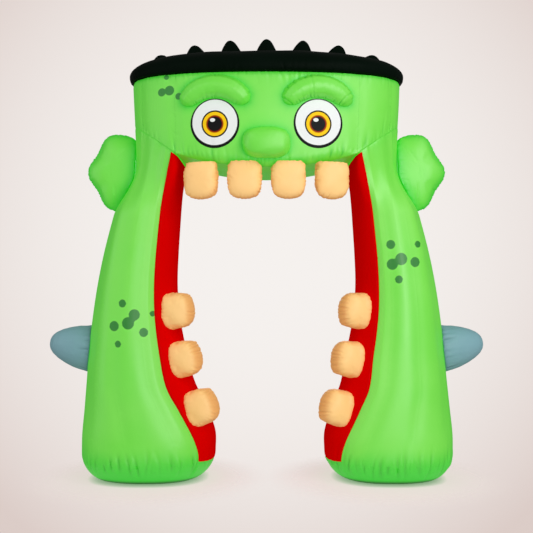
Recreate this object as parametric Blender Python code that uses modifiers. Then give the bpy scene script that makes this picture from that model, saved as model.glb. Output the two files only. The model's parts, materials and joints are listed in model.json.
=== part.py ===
"""Inflatable walk-through arch in the form of a generic horned monster's open mouth.

Metres, +Z up. The arch stands on the floor at z = 0, its front faces -Y, and the origin lies on the
floor midway between the legs and midway through the overall depth. Every air-filled piece is one
closed solid with the outer shape that it takes when it is blown up. The pieces lie 0.3 mm apart.
"""

import math
from typing import NamedTuple

import bmesh
import bpy
from mathutils import Matrix, Vector

# Fabric and seams
GAP = 0.0003
SHEET = 0.002
SEAM_TUCK = 0.007
SHARP_ANGLE = math.radians(50)
PANEL_FLATNESS = 0.15
LINING_FLATNESS = 0.0

# Whole body: the face pieces stand out in front, so the body's middle lies behind the origin.
BODY_Y = 0.0455

# Legs and their base bowls
BASE_ROUND = 0.17
BASE_SEAM_Z = 0.13
LEG_TOP_Z = 2.42
LINING_STEPS = 8
GORE_STEPS = (2, 3, 3, 3)
STEPS_PER_LEG_ROW = (2, 2, 2, 2, 2, 2, 1, 1, 1, 1)
GORE_SHARES = (0.16, 0.41, 0.71)
BASE_TURNS = (0, 22, 45, 62)

# Header: a drum whose underside arches over the passage and slopes up over the legs
MOUTH_X = 0.56
UNDERSIDE_Z = 1.985
UNDERSIDE_ARCH = 0.085
SHOULDER_SLOPE = 0.70
HEADER_EDGE = 0.05
HEADER_EDGE_FADE = 0.12
HEADER_EDGE_TURNS = (0, 35, 65, 90)
HEADER_EDGE_PASSES = 3
HEADER_WALL_SHARES = (0.25, 0.5, 0.75, 1.0)
HEADER_STEPS = (2, 2, 5, 5, 2, 2)
SHOULDER_BLEND = (1.70, 2.06)
SHOULDER_ROUNDING = 9
SHOULDER_HALVINGS = 30
HEADER_FLATNESS = 0.15
HEADER_SQUARENESS = 2.4
SIDE_SEAM_SHARE = 0.5
FACE_Z = UNDERSIDE_Z + 2 * HEADER_EDGE
HEM_Z = 2.56

# Crown and crest
CROWN_BULGE = 0.022
CROWN_EDGE = 0.045
CROWN_RISE = 0.135
CROWN_POWER = 10 / 3
CROWN_SWELL = (0.4, 0.6)
CROWN_SHARES = (1.0, 0.985, 0.93, 0.82, 0.64, 0.42, 0.20)
SPIKE_COUNT = 7
SPIKE_PITCH = 0.225
SPIKE_WIDTH = 0.25
SPIKE_THICKNESS = 0.15
SPIKE_HEIGHT = 0.145
SPIKE_HEIGHT_LOSS = 0.0085
SPIKE_ROOT = 0.045
SPIKE_FAN = 0.45

# Face
EYE_X = 0.315
EYE_Z = 2.245
EYE_RADIUS = 0.150
EYE_SIDES = 40
EYE_CORE_DEPTH = (0.10, 0.60)
BROW_RADIUS = 0.228
BROW_HALF_ANGLE = math.radians(60)
BROW_THICKNESS = 0.074
BROW_STEPS = 16
BROW_TIP = 0.25
BROW_BLUNTNESS = 4
BROW_STANDOFF = 0.012
SNOUT_Z = 2.125
SNOUT_WIDTH = 0.33
SNOUT_HEIGHT = 0.215
SNOUT_DEPTH = 0.17
SNOUT_ROOT = 0.05

# Teeth
UPPER_TOOTH_X = (0.135, 0.405)
UPPER_TOOTH_WIDTH = 0.255
UPPER_TOOTH_THICKNESS = 0.17
UPPER_TOOTH_LENGTH = 0.25
UPPER_TOOTH_ROOT_Z = 2.02
UPPER_TOOTH_SET_BACK = 0.06
SIDE_TOOTH_Z = (0.47, 0.78, 1.09)
SIDE_TOOTH_WIDTH = 0.265
SIDE_TOOTH_THICKNESS = 0.235
SIDE_TOOTH_LENGTH = 0.225
SIDE_TOOTH_ROOT = 0.05
SIDE_TOOTH_ANGLE = math.radians(30)

# Side horns
HORN_Z = 0.84
HORN_LENGTH = 0.285
HORN_RADIUS = 0.155
HORN_TILT = math.radians(10)
HORN_SEAT = 0.02
HORN_STEPS = 20

# Ears
EAR_X = 0.90
EAR_Z = 1.995
EAR_Y = 0.02
EAR_REACH = 0.285
EAR_HALF_HEIGHT = 0.285
EAR_THICKNESS = 0.19
EAR_ROOT = 0.12
EAR_LOBES = 6
EAR_LOBE_DEPTH = 0.055
EAR_CHANNEL_DEPTH = 0.35
EAR_ROOT_FADE = 0.6
EAR_FULLNESS = 2.4
EAR_POINTS = 42
EAR_SHARES = (0.30, 0.60, 0.82, 0.93, 0.985)


class Side(NamedTuple):
    """One side of the arch; its leg's foot may stand a little further from the middle."""

    name: str
    sign: float
    foot_in: float
    foot_out: float


SIDES = (Side("left", -1.0, 0.0, 0.0), Side("right", 1.0, 0.046, 0.010))
FOOT_FADE = (0.30, 0.85)


class LegRow(NamedTuple):
    """Section of a leg at a height; x distances are from the arch's middle plane."""

    height: float
    outer: float
    inner: float
    half_depth: float
    lining_edge: float
    squareness: float


LEG_ROWS = (
    LegRow(0.00, 1.205, 0.345, 0.400, 0.430, 2.4),
    LegRow(0.17, 1.211, 0.337, 0.405, 0.425, 2.4),
    LegRow(0.30, 1.209, 0.340, 0.405, 0.455, 2.4),
    LegRow(0.47, 1.192, 0.405, 0.395, 0.540, 2.3),
    LegRow(0.62, 1.178, 0.476, 0.382, 0.620, 2.3),
    LegRow(0.81, 1.166, 0.527, 0.366, 0.662, 2.2),
    LegRow(1.05, 1.137, 0.572, 0.350, 0.693, 2.2),
    LegRow(1.25, 1.107, 0.588, 0.340, 0.698, 2.2),
    LegRow(1.45, 1.064, 0.583, 0.332, 0.688, 2.3),
    LegRow(1.72, 0.991, 0.567, 0.328, 0.660, 2.5),
    LegRow(1.95, 0.926, 0.555, 0.328, 0.634, 2.8),
    LegRow(2.15, 0.880, 0.552, 0.326, 0.610, 3.0),
    LegRow(2.42, 0.850, 0.552, 0.322, 0.600, 3.0),
)


class DrumRow(NamedTuple):
    """Half sizes of the header's drum at a height."""

    height: float
    half_width: float
    half_depth: float


DRUM_ROWS = (
    DrumRow(1.98, 0.848, 0.450),
    DrumRow(2.14, 0.851, 0.469),
    DrumRow(2.34, 0.861, 0.478),
    DrumRow(2.56, 0.872, 0.466),
)


class PadSection(NamedTuple):
    """Section of a sewn-on pad, as shares of its length, width and thickness."""

    along: float
    width: float
    thick: float


TOOTH_SECTIONS = (
    PadSection(0.00, 0.86, 0.84),
    PadSection(0.42, 1.00, 1.00),
    PadSection(1.00, 0.80, 0.66),
)
SPIKE_SECTIONS = (
    PadSection(0.00, 0.98, 0.90),
    PadSection(0.45, 0.66, 0.78),
    PadSection(1.00, 0.20, 0.28),
)
SNOUT_SECTIONS = (
    PadSection(0.00, 0.90, 0.90),
    PadSection(0.60, 1.00, 1.00),
    PadSection(1.00, 0.62, 0.60),
)


class TurnedPoint(NamedTuple):
    """Point of a turned profile, as shares of its length and radius."""

    along: float
    radius: float


HORN_PROFILE = (
    TurnedPoint(1.00, 0.00),
    TurnedPoint(0.995, 0.16),
    TurnedPoint(0.96, 0.32),
    TurnedPoint(0.88, 0.49),
    TurnedPoint(0.74, 0.66),
    TurnedPoint(0.56, 0.81),
    TurnedPoint(0.36, 0.93),
    TurnedPoint(0.14, 1.00),
    TurnedPoint(0.00, 0.985),
    TurnedPoint(-0.25, 0.90),
    TurnedPoint(-0.25, 0.00),
)


class Fabric(NamedTuple):
    """Colour and finish of one cloth."""

    colour: tuple
    roughness: float


FABRICS = {
    "green": Fabric((0.11, 0.67, 0.05, 1.0), 0.55),
    "red": Fabric((0.58, 0.002, 0.003, 1.0), 0.60),
    "black": Fabric((0.008, 0.009, 0.010, 1.0), 0.60),
    "cream": Fabric((0.84, 0.60, 0.30, 1.0), 0.55),
    "slate": Fabric((0.20, 0.32, 0.37, 1.0), 0.55),
    "white": Fabric((0.85, 0.87, 0.87, 1.0), 0.50),
}


def clear_scene():
    """Remove every object of the startup scene."""
    for obj in list(bpy.data.objects):
        bpy.data.objects.remove(obj, do_unlink=True)


def cloth(name):
    """Return the named cloth's material, made on first use."""
    found = bpy.data.materials.get(name)
    if found:
        return found
    made = bpy.data.materials.new(name)
    made.use_nodes = True
    shader = made.node_tree.nodes["Principled BSDF"]
    shader.inputs["Base Color"].default_value = FABRICS[name].colour
    shader.inputs["Roughness"].default_value = FABRICS[name].roughness
    shader.inputs["Metallic"].default_value = 0.0
    return made


class Stage:
    """The collections of pieces and cutters, and the empty that carries them all."""

    def __init__(self):
        self.parts = bpy.data.collections.new("inflatable_arch")
        self.cutters = bpy.data.collections.new("cutters")
        for group in (self.parts, self.cutters):
            bpy.context.scene.collection.children.link(group)
        self.body = bpy.data.objects.new("arch_middle", None)
        self.parts.objects.link(self.body)
        self.body.location = (0.0, BODY_Y, 0.0)

    def add(self, name, mesh, fabric, matrix=None):
        """Make a smooth-shaded piece from a mesh in its own cloth."""
        obj = bpy.data.objects.new(name, mesh)
        self.parts.objects.link(obj)
        obj.parent = self.body
        if matrix is not None:
            obj.matrix_basis = matrix
        mesh.materials.clear()
        mesh.materials.append(cloth(fabric))
        mesh.shade_smooth()
        mesh.set_sharp_from_angle(angle=SHARP_ANGLE)
        return obj

    def add_cutter(self, name, mesh):
        """Make a hidden helper that cuts other pieces."""
        obj = bpy.data.objects.new(name, mesh)
        self.cutters.objects.link(obj)
        obj.parent = self.body
        obj.hide_render = True
        obj.display_type = "WIRE"
        return obj


# ---------------------------------------------------------------- curves and sections


def smooth_row(rows, height):
    """Interpolate a table of rows smoothly at a height."""
    last = len(rows) - 1
    if height <= rows[0].height:
        return rows[0]
    if height >= rows[last].height:
        return rows[last]
    k = next(i for i in range(last) if height <= rows[i + 1].height)
    before, low, high, after = rows[max(k - 1, 0)], rows[k], rows[k + 1], rows[min(k + 2, last)]
    step = high.height - low.height
    t = (height - low.height) / step
    values = []
    for a, b, c, d in zip(before, low, high, after):
        rise_b = (c - a) / max(high.height - before.height, 1e-9) * step
        rise_c = (d - b) / max(after.height - low.height, 1e-9) * step
        values.append(
            (2 * t**3 - 3 * t**2 + 1) * b
            + (t**3 - 2 * t**2 + t) * rise_b
            + (3 * t**2 - 2 * t**3) * c
            + (t**3 - t**2) * rise_c
        )
    return type(low)(height, *values[1:])


def signed_power(value, power):
    """Raise the size of a number to a power and keep its sign."""
    return math.copysign(abs(value) ** power, value)


def superellipse(angle, half_width, half_depth, squareness):
    """Point of a squared-off ellipse, with angle 0 on +X and a quarter turn on +Y."""
    power = 2.0 / squareness
    return (
        half_width * signed_power(math.cos(angle), power),
        half_depth * signed_power(math.sin(angle), power),
    )


def divided(marks, counts):
    """Split each span between neighbouring marks into its count of equal steps."""
    values = []
    for start, end, count in zip(marks, marks[1:], counts):
        values += [start + (end - start) * i / count for i in range(count)]
    return values


def smoothstep(value, low, high):
    """Rise smoothly from 0 to 1 between two limits."""
    t = min(1.0, max(0.0, (value - low) / (high - low)))
    return t * t * (3 - 2 * t)


def gored(angles, seams, point, flatness):
    """Outline points, with the cloth of each span between seams pulled towards its chord."""
    found = []
    for angle in angles:
        span = next(i for i, end in enumerate(seams[1:]) if angle <= end + 1e-9)
        start, end = seams[span], seams[span + 1]
        share = (angle - start) / (end - start)
        bulged = Vector(point(angle))
        chord = Vector(point(start)).lerp(Vector(point(end)), share)
        found.append(bulged.lerp(chord, flatness[span]))
    return found


# ---------------------------------------------------------------- mesh tools


def loft(rings, cap_start=True, cap_end=True):
    """Join rings of equal length into a tube of triangles, with flat caps where asked."""
    bm = bmesh.new()
    rows = [[bm.verts.new(p) for p in ring] for ring in rings]
    count = len(rings[0])
    for low, high in zip(rows, rows[1:]):
        for i in range(count):
            j = (i + 1) % count
            split_quad(bm, low[i], low[j], high[j], high[i])
    if cap_start:
        bm.faces.new(list(reversed(rows[0])))
    if cap_end:
        bm.faces.new(rows[-1])
    return bm, rows


def split_quad(bm, a, b, c, d):
    """Two triangles that always share the edge from the first corner to the third."""
    bm.faces.new((a, b, c))
    bm.faces.new((a, c, d))


def finished(bm, name, mirror=False):
    """Turn a bmesh into a mesh with outward faces, mirrored in X where asked."""
    if mirror:
        bmesh.ops.scale(bm, vec=(-1.0, 1.0, 1.0), verts=bm.verts)
    bmesh.ops.recalc_face_normals(bm, faces=bm.faces)
    mesh = bpy.data.meshes.new(name)
    bm.to_mesh(mesh)
    bm.free()
    return mesh


def cut_and_capped(bm, point, normal, tuck=0.0):
    """Cut off what lies beyond a plane, close the cut, and tuck its rim in at the seam."""
    geometry = bm.verts[:] + bm.edges[:] + bm.faces[:]
    cut = bmesh.ops.bisect_plane(
        bm, geom=geometry, plane_co=point, plane_no=normal, clear_outer=True, dist=1e-6
    )
    rim = [e for e in cut["geom_cut"] if isinstance(e, bmesh.types.BMEdge)]
    bmesh.ops.contextual_create(bm, geom=rim)
    if tuck:
        bmesh.ops.bevel(
            bm, geom=rim, offset=tuck, segments=2, profile=0.5, affect="EDGES", clamp_overlap=True
        )


def grown(obj, by, name):
    """Mesh of a piece with its surface moved outwards, evenly over flat and curved faces."""
    bm = bmesh.new()
    bm.from_mesh(obj.data)
    bm.normal_update()
    moved = [v.co + v.normal * by * v.calc_shell_factor() for v in bm.verts]
    for vertex, place in zip(bm.verts, moved):
        vertex.co = place
    return finished(bm, name)


def cut_by(obj, *cutters):
    """Seat a piece on its carriers by cutting it back from their grown copies."""
    for cutter in cutters:
        modifier = obj.modifiers.new(f"seat_on_{cutter.name}", "BOOLEAN")
        modifier.operation = "DIFFERENCE"
        modifier.solver = "EXACT"
        modifier.object = cutter


def placed(origin, along, thick):
    """Matrix whose +Z runs along a pad from its root and whose +Y is its thickness."""
    z = Vector(along).normalized()
    x = Vector(thick).normalized().cross(z).normalized()
    y = z.cross(x)
    matrix = Matrix((x, y, z)).transposed().to_4x4()
    matrix.translation = origin
    return matrix


def mirrored_place(matrix):
    """The same place on the other side of the arch, for a pad that is the same both ways."""
    flip = Matrix.Diagonal((-1.0, 1.0, 1.0, 1.0))
    return flip @ matrix @ flip


# ---------------------------------------------------------------- legs, bases and linings


def base_inset(height):
    """How far the rounded bottom edge is drawn in at a height."""
    if height >= BASE_ROUND:
        return 0.0
    rise = (BASE_ROUND - height) / BASE_ROUND
    return BASE_ROUND * (1.0 - math.sqrt(max(0.0, 1.0 - rise * rise)))


def leg_row(height, side):
    """Section of one side's leg at a height."""
    row = smooth_row(LEG_ROWS, height)
    foot = 1.0 - smoothstep(height, *FOOT_FADE)
    return row._replace(
        outer=row.outer + side.foot_out * foot,
        inner=row.inner + side.foot_in * foot,
        lining_edge=row.lining_edge + side.foot_in * foot,
    )


def leg_outline(height, side, tuck=0.0):
    """Return the leg's outline at a height as (angle to point, lining's half angle)."""
    row = leg_row(height, side)
    centre = (row.outer + row.inner) / 2
    half_width = (row.outer - row.inner) / 2
    share = (centre - row.lining_edge) / half_width
    lining_angle = math.acos(share ** (row.squareness / 2))
    inset = base_inset(height) + tuck
    blend = smoothstep(height, *SHOULDER_BLEND)

    def point(angle):
        x, y = superellipse(angle, half_width - inset, row.half_depth - inset, row.squareness)
        spot = Vector((centre - x, -y, height))
        if blend:
            spot = spot.lerp(shoulder_point(centre, spot, row.inner, tuck), blend)
        return spot

    return point, lining_angle


def shoulder_point(centre, spot, inner, tuck):
    """Where the line from a leg's centre through a spot meets the header's outline above it."""
    drum = smooth_row(DRUM_ROWS, spot.z)
    run, depth = spot.x - centre, spot.y
    size = math.hypot(run, depth)
    run, depth = run / size, depth / size
    near, far = 0.0, 1.0
    for _ in range(SHOULDER_HALVINGS):
        reach = (near + far) / 2
        across = abs(centre + run * reach) / (drum.half_width - tuck)
        along = abs(depth * reach) / (drum.half_depth - tuck)
        inside = across**HEADER_SQUARENESS + along**HEADER_SQUARENESS < 1.0
        near, far = (reach, far) if inside else (near, reach)
    reach = near
    if run < 0:
        flat = (centre - inner - tuck) / -run
        power = SHOULDER_ROUNDING
        reach = (reach**-power + flat**-power) ** (-1 / power)
    return Vector((centre + run * reach, depth * reach, spot.z))


def leg_ring(height, side, tuck=0.0):
    """Points round a leg, from the lining's back seam over the inner side and round the front."""
    point, lining_angle = leg_outline(height, side, tuck)
    rest = math.pi - lining_angle
    front = [lining_angle] + [lining_angle + rest * share for share in GORE_SHARES] + [math.pi]
    back = [2 * math.pi - angle for angle in reversed(front)]
    marks = [-lining_angle] + front + back[1:]
    counts = (LINING_STEPS,) + GORE_STEPS + tuple(reversed(GORE_STEPS))
    seams = [-lining_angle] + front[:-1] + back[1:]
    free = 1.0 - smoothstep(height, *SHOULDER_BLEND)
    flatness = [LINING_FLATNESS * free] + [PANEL_FLATNESS * free] * (len(seams) - 2)
    return gored(divided(marks, counts), seams, point, flatness)


def leg_heights():
    """Heights of a leg's sections above the base seam."""
    bend = [BASE_SEAM_Z + SEAM_TUCK, BASE_ROUND]
    body = [row.height for row in LEG_ROWS if row.height > BASE_ROUND]
    return bend + divided(body, STEPS_PER_LEG_ROW) + [LEG_TOP_Z]


def shoulder_plane(gap):
    """Point and upward normal of the slope where a leg meets the header."""
    start = Vector((MOUTH_X, 0.0, UNDERSIDE_Z + UNDERSIDE_ARCH))
    normal = Vector((-SHOULDER_SLOPE, 0.0, 1.0)).normalized()
    return start - normal * gap, normal


def make_leg(side):
    """Mesh of a leg's air-filled column."""
    rings = [leg_ring(BASE_SEAM_Z + GAP, side, SEAM_TUCK)]
    rings += [leg_ring(z, side) for z in leg_heights()]
    bm, _ = loft(rings)
    point, normal = shoulder_plane(GAP)
    cut_and_capped(bm, point, normal, SEAM_TUCK)
    return finished(bm, "leg", side.sign < 0)


def make_base(side):
    """Mesh of the rounded bowl that closes a leg at the floor."""
    heights = [BASE_ROUND * (1.0 - math.cos(math.radians(turn))) for turn in BASE_TURNS]
    rings = [leg_ring(z, side) for z in heights + [BASE_SEAM_Z - SEAM_TUCK]]
    rings.append(leg_ring(BASE_SEAM_Z, side, SEAM_TUCK))
    bm, _ = loft(rings)
    return finished(bm, "base", side.sign < 0)


def make_lining(side):
    """Mesh of the thin panel on a leg's inner side, from the base seam up to the header."""
    tube, rows = loft([leg_ring(z, side) for z in leg_heights()], cap_start=False, cap_end=False)
    bmesh.ops.recalc_face_normals(tube, faces=tube.faces)
    tube.normal_update()
    outwards = 1.0 if rows[0][0].normal.y > 0 else -1.0
    bm = bmesh.new()
    grids = []
    for lift in (GAP, GAP + SHEET):
        grids.append(
            [
                [
                    bm.verts.new(v.co + v.normal * (outwards * lift * v.calc_shell_factor()))
                    for v in row[: LINING_STEPS + 1]
                ]
                for row in rows
            ]
        )
    tube.free()
    bridge(bm, *grids)
    point, normal = shoulder_plane(2 * GAP)
    cut_and_capped(bm, point, normal)
    return finished(bm, "lining", side.sign < 0)


def bridge(bm, near, far):
    """Faces of a thin sheet between two grids of vertices."""
    rows, columns = len(near), len(near[0])
    for grid in (near, far):
        for r in range(rows - 1):
            for c in range(columns - 1):
                split_quad(bm, grid[r][c], grid[r][c + 1], grid[r + 1][c + 1], grid[r + 1][c])
    for c in range(columns - 1):
        for r in (0, rows - 1):
            bm.faces.new((near[r][c], near[r][c + 1], far[r][c + 1], far[r][c]))
    for r in range(rows - 1):
        for c in (0, columns - 1):
            bm.faces.new((near[r][c], near[r + 1][c], far[r + 1][c], far[r][c]))


# ---------------------------------------------------------------- header, crown and crest


def underside(x):
    """Height of the header's underside: an arch over the passage, then a slope over each leg."""
    reach = abs(x)
    if reach <= MOUTH_X:
        return UNDERSIDE_Z + UNDERSIDE_ARCH * (reach / MOUTH_X) ** 2
    return UNDERSIDE_Z + UNDERSIDE_ARCH + SHOULDER_SLOPE * (reach - MOUTH_X)


def header_angles():
    """Angles round the drum, with a seam at the sides, the mouth's corners and the middle."""
    mouth_share = MOUTH_X / DRUM_ROWS[0].half_width
    corner = math.acos(mouth_share ** (HEADER_SQUARENESS / 2))
    marks = [0.0, corner * SIDE_SEAM_SHARE, corner, math.pi / 2]
    half = marks + [math.pi - a for a in reversed(marks[:-1])]
    seams = half + [2 * math.pi - a for a in reversed(half[:-1])]
    return divided(seams, HEADER_STEPS * 2), seams


def drum_outline():
    """Points round a drum of half width and half depth 1."""
    angles, seams = header_angles()

    def point(angle):
        return Vector((*superellipse(angle, 1.0, 1.0, HEADER_SQUARENESS), 0.0))

    return gored(angles, seams, point, [HEADER_FLATNESS] * (len(seams) - 1))


def drum_ring(height, inset=0.0):
    """Points round the header's drum at a height."""
    row = smooth_row(DRUM_ROWS, height)
    wide, deep = row.half_width - inset, row.half_depth - inset
    return [Vector((p.x * wide, p.y * deep, height)) for p in drum_outline()]


def header_edge_ring(turn):
    """Ring part of the way round the header's lower edge, which is soft over the passage."""
    drawn_in, lift = 1.0 - math.sin(turn), 1.0 - math.cos(turn)
    ring = []
    for p in drum_outline():
        height = UNDERSIDE_Z
        for _ in range(HEADER_EDGE_PASSES):
            row = smooth_row(DRUM_ROWS, height)
            soft = 1.0 - smoothstep(abs(p.x) * row.half_width, MOUTH_X - HEADER_EDGE_FADE, MOUTH_X)
            radius = SEAM_TUCK + (HEADER_EDGE - SEAM_TUCK) * soft
            x = p.x * (row.half_width - drawn_in * radius)
            height = underside(x) + lift * radius
        ring.append(Vector((x, p.y * (row.half_depth - drawn_in * radius), height)))
    return ring


def wall_ring(foot, share):
    """Ring at a share of the way up the header's wall, from its foot to just below the hem."""
    ring = []
    for low, p in zip(foot, drum_outline()):
        height = low.z + (HEM_Z - SEAM_TUCK - low.z) * share
        row = smooth_row(DRUM_ROWS, height)
        ring.append(Vector((p.x * row.half_width, p.y * row.half_depth, height)))
    return ring


def header_rings():
    """Sections of the header from its underside to the hem of the crown."""
    rings = [header_edge_ring(math.radians(turn)) for turn in HEADER_EDGE_TURNS]
    foot = rings[-1]
    rings += [wall_ring(foot, share) for share in HEADER_WALL_SHARES]
    rings.append(drum_ring(HEM_Z, SEAM_TUCK))
    return rings


def make_header():
    """Mesh of the header, closed below by strips that run from front to back."""
    bm, rows = loft(header_rings(), cap_start=False)
    low = rows[0]
    half = len(low) // 2
    for i in range(half):
        near, far = -i % len(low), -(i + 1) % len(low)
        corners = [low[i], low[i + 1], low[far], low[near]]
        bm.faces.new(list(dict.fromkeys(corners)))
    return finished(bm, "header")


def crown_height(share):
    """Height of the crown's dome at a share of the way from its middle to its rim."""
    return HEM_Z + CROWN_EDGE + CROWN_RISE * math.sqrt(max(0.0, 1.0 - share**CROWN_POWER))


def make_crown():
    """Mesh of the domed crown that closes the header's top."""
    hem = drum_ring(HEM_Z, SEAM_TUCK)
    rim = drum_ring(HEM_Z, -CROWN_BULGE)
    rise, growth = CROWN_SWELL
    swell = drum_ring(HEM_Z, -CROWN_BULGE * growth)
    rings = [[Vector((p.x, p.y, HEM_Z + GAP)) for p in hem]]
    rings.append([Vector((p.x, p.y, HEM_Z + CROWN_EDGE * rise)) for p in swell])
    for share in CROWN_SHARES:
        height = crown_height(share)
        rings.append([Vector((p.x * share, p.y * share, height)) for p in rim])
    bm, _ = loft(rings)
    return finished(bm, "crown")


# ---------------------------------------------------------------- sewn-on pads


def make_pad(name, sections, width, thickness, length):
    """Coarse cage of a pad whose root edge is sewn sharp; Subdivision Surface fills it out."""
    rings = []
    for section in sections:
        x, y = width * section.width / 2, thickness * section.thick / 2
        z = length * section.along
        rings.append([Vector(p) for p in ((x, y, z), (-x, y, z), (-x, -y, z), (x, -y, z))])
    bm, rows = loft(rings)
    crease = bm.edges.layers.float.new("crease_edge")
    root = set(rows[0])
    for edge in bm.edges:
        if set(edge.verts) <= root:
            edge[crease] = 1.0
    return finished(bm, name)


def fill_out(obj, levels=2):
    """Blow up a coarse cage into a soft form."""
    modifier = obj.modifiers.new("filled", "SUBSURF")
    modifier.levels = levels
    modifier.render_levels = levels


def add_upper_teeth(stage, header_cutter):
    """Four equal teeth along the front edge of the header's underside."""
    mesh = make_pad(
        "upper_tooth", TOOTH_SECTIONS, UPPER_TOOTH_WIDTH, UPPER_TOOTH_THICKNESS, UPPER_TOOTH_LENGTH
    )
    spots = sorted([-x for x in UPPER_TOOTH_X] + list(UPPER_TOOTH_X))
    for number, x in enumerate(spots, 1):
        out = front_normal(x)
        y = header_front(x) + UPPER_TOOTH_SET_BACK
        matrix = placed(Vector((x, y, UPPER_TOOTH_ROOT_Z)), Vector((0.0, 0.0, -1.0)), out)
        tooth = stage.add(f"tooth_upper_{number}", mesh.copy(), "cream", matrix)
        fill_out(tooth)
        cut_by(tooth, header_cutter)


def header_front(x):
    """Y of the header's front at a distance from the middle."""
    row = smooth_row(DRUM_ROWS, FACE_Z)
    share = min(1.0, abs(x) / row.half_width)
    return -row.half_depth * (1.0 - share**HEADER_SQUARENESS) ** (1.0 / HEADER_SQUARENESS)


def front_normal(x):
    """Horizontal direction out of the header's front at a distance from the middle."""
    step = 0.01
    slope = (header_front(x + step) - header_front(x - step)) / (2 * step)
    return Vector((slope, -1.0, 0.0)).normalized()


def leg_surface(angle, height, side):
    """Point on a leg's surface and the direction out of it, both as if the leg were the right one."""
    step = 0.01

    def point(a, z):
        return leg_outline(z, side)[0](a)

    spot = point(angle, height)
    across = point(angle + step, height) - point(angle - step, height)
    upwards = point(angle, height + step) - point(angle, height - step)
    out = across.cross(upwards).normalized()
    if out.x > 0:
        out = -out
    return spot, out


def add_side_teeth(stage, lining_cutters):
    """Three equal teeth down each lining, each square to the lining under it."""
    mesh = make_pad(
        "side_tooth", TOOTH_SECTIONS, SIDE_TOOTH_WIDTH, SIDE_TOOTH_THICKNESS, SIDE_TOOTH_LENGTH
    )
    for side in SIDES:
        for number, height in enumerate(SIDE_TOOTH_Z, 1):
            spot, out = leg_surface(SIDE_TOOTH_ANGLE, height, side)
            place = placed(spot - out * SIDE_TOOTH_ROOT, out, out.cross(Vector((0.0, 0.0, 1.0))))
            if side.sign < 0:
                place = mirrored_place(place)
            tooth = stage.add(f"tooth_{side.name}_{number}", mesh.copy(), "cream", place)
            fill_out(tooth)
            cut_by(tooth, lining_cutters[side.name])


def add_crest(stage, crown_cutter):
    """Row of soft spikes from side to side over the crown."""
    middle = (SPIKE_COUNT - 1) / 2
    rim = DRUM_ROWS[-1].half_width + CROWN_BULGE
    for number in range(SPIKE_COUNT):
        steps = number - middle
        x = steps * SPIKE_PITCH
        height = SPIKE_HEIGHT - SPIKE_HEIGHT_LOSS * steps * steps
        mesh = make_pad("spike", SPIKE_SECTIONS, SPIKE_WIDTH, SPIKE_THICKNESS, height + SPIKE_ROOT)
        lean = Vector((x * SPIKE_FAN, 0.0, 1.0))
        foot = Vector((x, 0.0, crown_height(abs(x) / rim) - SPIKE_ROOT))
        matrix = placed(foot, lean, Vector((0.0, -1.0, 0.0)))
        spike = stage.add(f"spike_{number + 1}", mesh, "black", matrix)
        fill_out(spike)
        cut_by(spike, crown_cutter)


def add_snout(stage, header_cutter):
    """Wide low snout, plain and blunt, in the middle of the face."""
    mesh = make_pad("snout", SNOUT_SECTIONS, SNOUT_WIDTH, SNOUT_HEIGHT, SNOUT_DEPTH)
    root = Vector((0.0, header_front(0.0) + SNOUT_ROOT, SNOUT_Z))
    matrix = placed(root, Vector((0.0, -1.0, 0.0)), Vector((0.0, 0.0, 1.0)))
    snout = stage.add("snout", mesh, "green", matrix)
    fill_out(snout)
    cut_by(snout, header_cutter)


def add_brows(stage, header_cutter):
    """An arched roll of filled cloth over each eye."""
    for side in SIDES:
        curve = bpy.data.curves.new("brow", "CURVE")
        curve.dimensions = "3D"
        curve.bevel_depth = BROW_THICKNESS
        curve.bevel_resolution = 2
        curve.use_fill_caps = True
        spline = curve.splines.new("POLY")
        spline.points.add(BROW_STEPS)
        for i in range(BROW_STEPS + 1):
            share = 2 * i / BROW_STEPS - 1
            angle = math.pi / 2 - share * BROW_HALF_ANGLE
            x = side.sign * EYE_X + BROW_RADIUS * math.cos(angle)
            z = EYE_Z + BROW_RADIUS * math.sin(angle)
            spline.points[i].co = (x, header_front(x) - BROW_STANDOFF, z, 1.0)
            swell = math.sqrt(max(0.0, 1.0 - share**BROW_BLUNTNESS))
            spline.points[i].radius = BROW_TIP + (1 - BROW_TIP) * swell
        guide = bpy.data.objects.new("brow_line", curve)
        stage.cutters.objects.link(guide)
        bpy.context.view_layer.update()
        mesh = bpy.data.meshes.new_from_object(
            guide.evaluated_get(bpy.context.evaluated_depsgraph_get())
        )
        bpy.data.objects.remove(guide)
        bm = bmesh.new()
        bm.from_mesh(mesh)
        bmesh.ops.remove_doubles(bm, verts=bm.verts, dist=1e-5)
        brow = stage.add(f"brow_{side.name}", finished(bm, "brow"), "green")
        cut_by(brow, header_cutter)


def add_eyes(stage, header_cutter, patch_cutter):
    """A round cloth patch for each eye, laid on the header's front."""
    for side in SIDES:
        bm = bmesh.new()
        turn = Matrix.Rotation(math.pi / 2, 4, "X")
        back, front = EYE_CORE_DEPTH
        middle = Vector((side.sign * EYE_X, -(front + back) / 2, EYE_Z))
        bmesh.ops.create_cone(
            bm,
            cap_ends=True,
            segments=EYE_SIDES,
            radius1=EYE_RADIUS,
            radius2=EYE_RADIUS,
            depth=front - back,
            matrix=Matrix.Translation(middle) @ turn,
        )
        eye = stage.add(f"eye_{side.name}", finished(bm, "eye"), "white")
        keep = eye.modifiers.new("patch_thickness", "BOOLEAN")
        keep.operation = "INTERSECT"
        keep.solver = "EXACT"
        keep.object = patch_cutter
        cut_by(eye, header_cutter)


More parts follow.
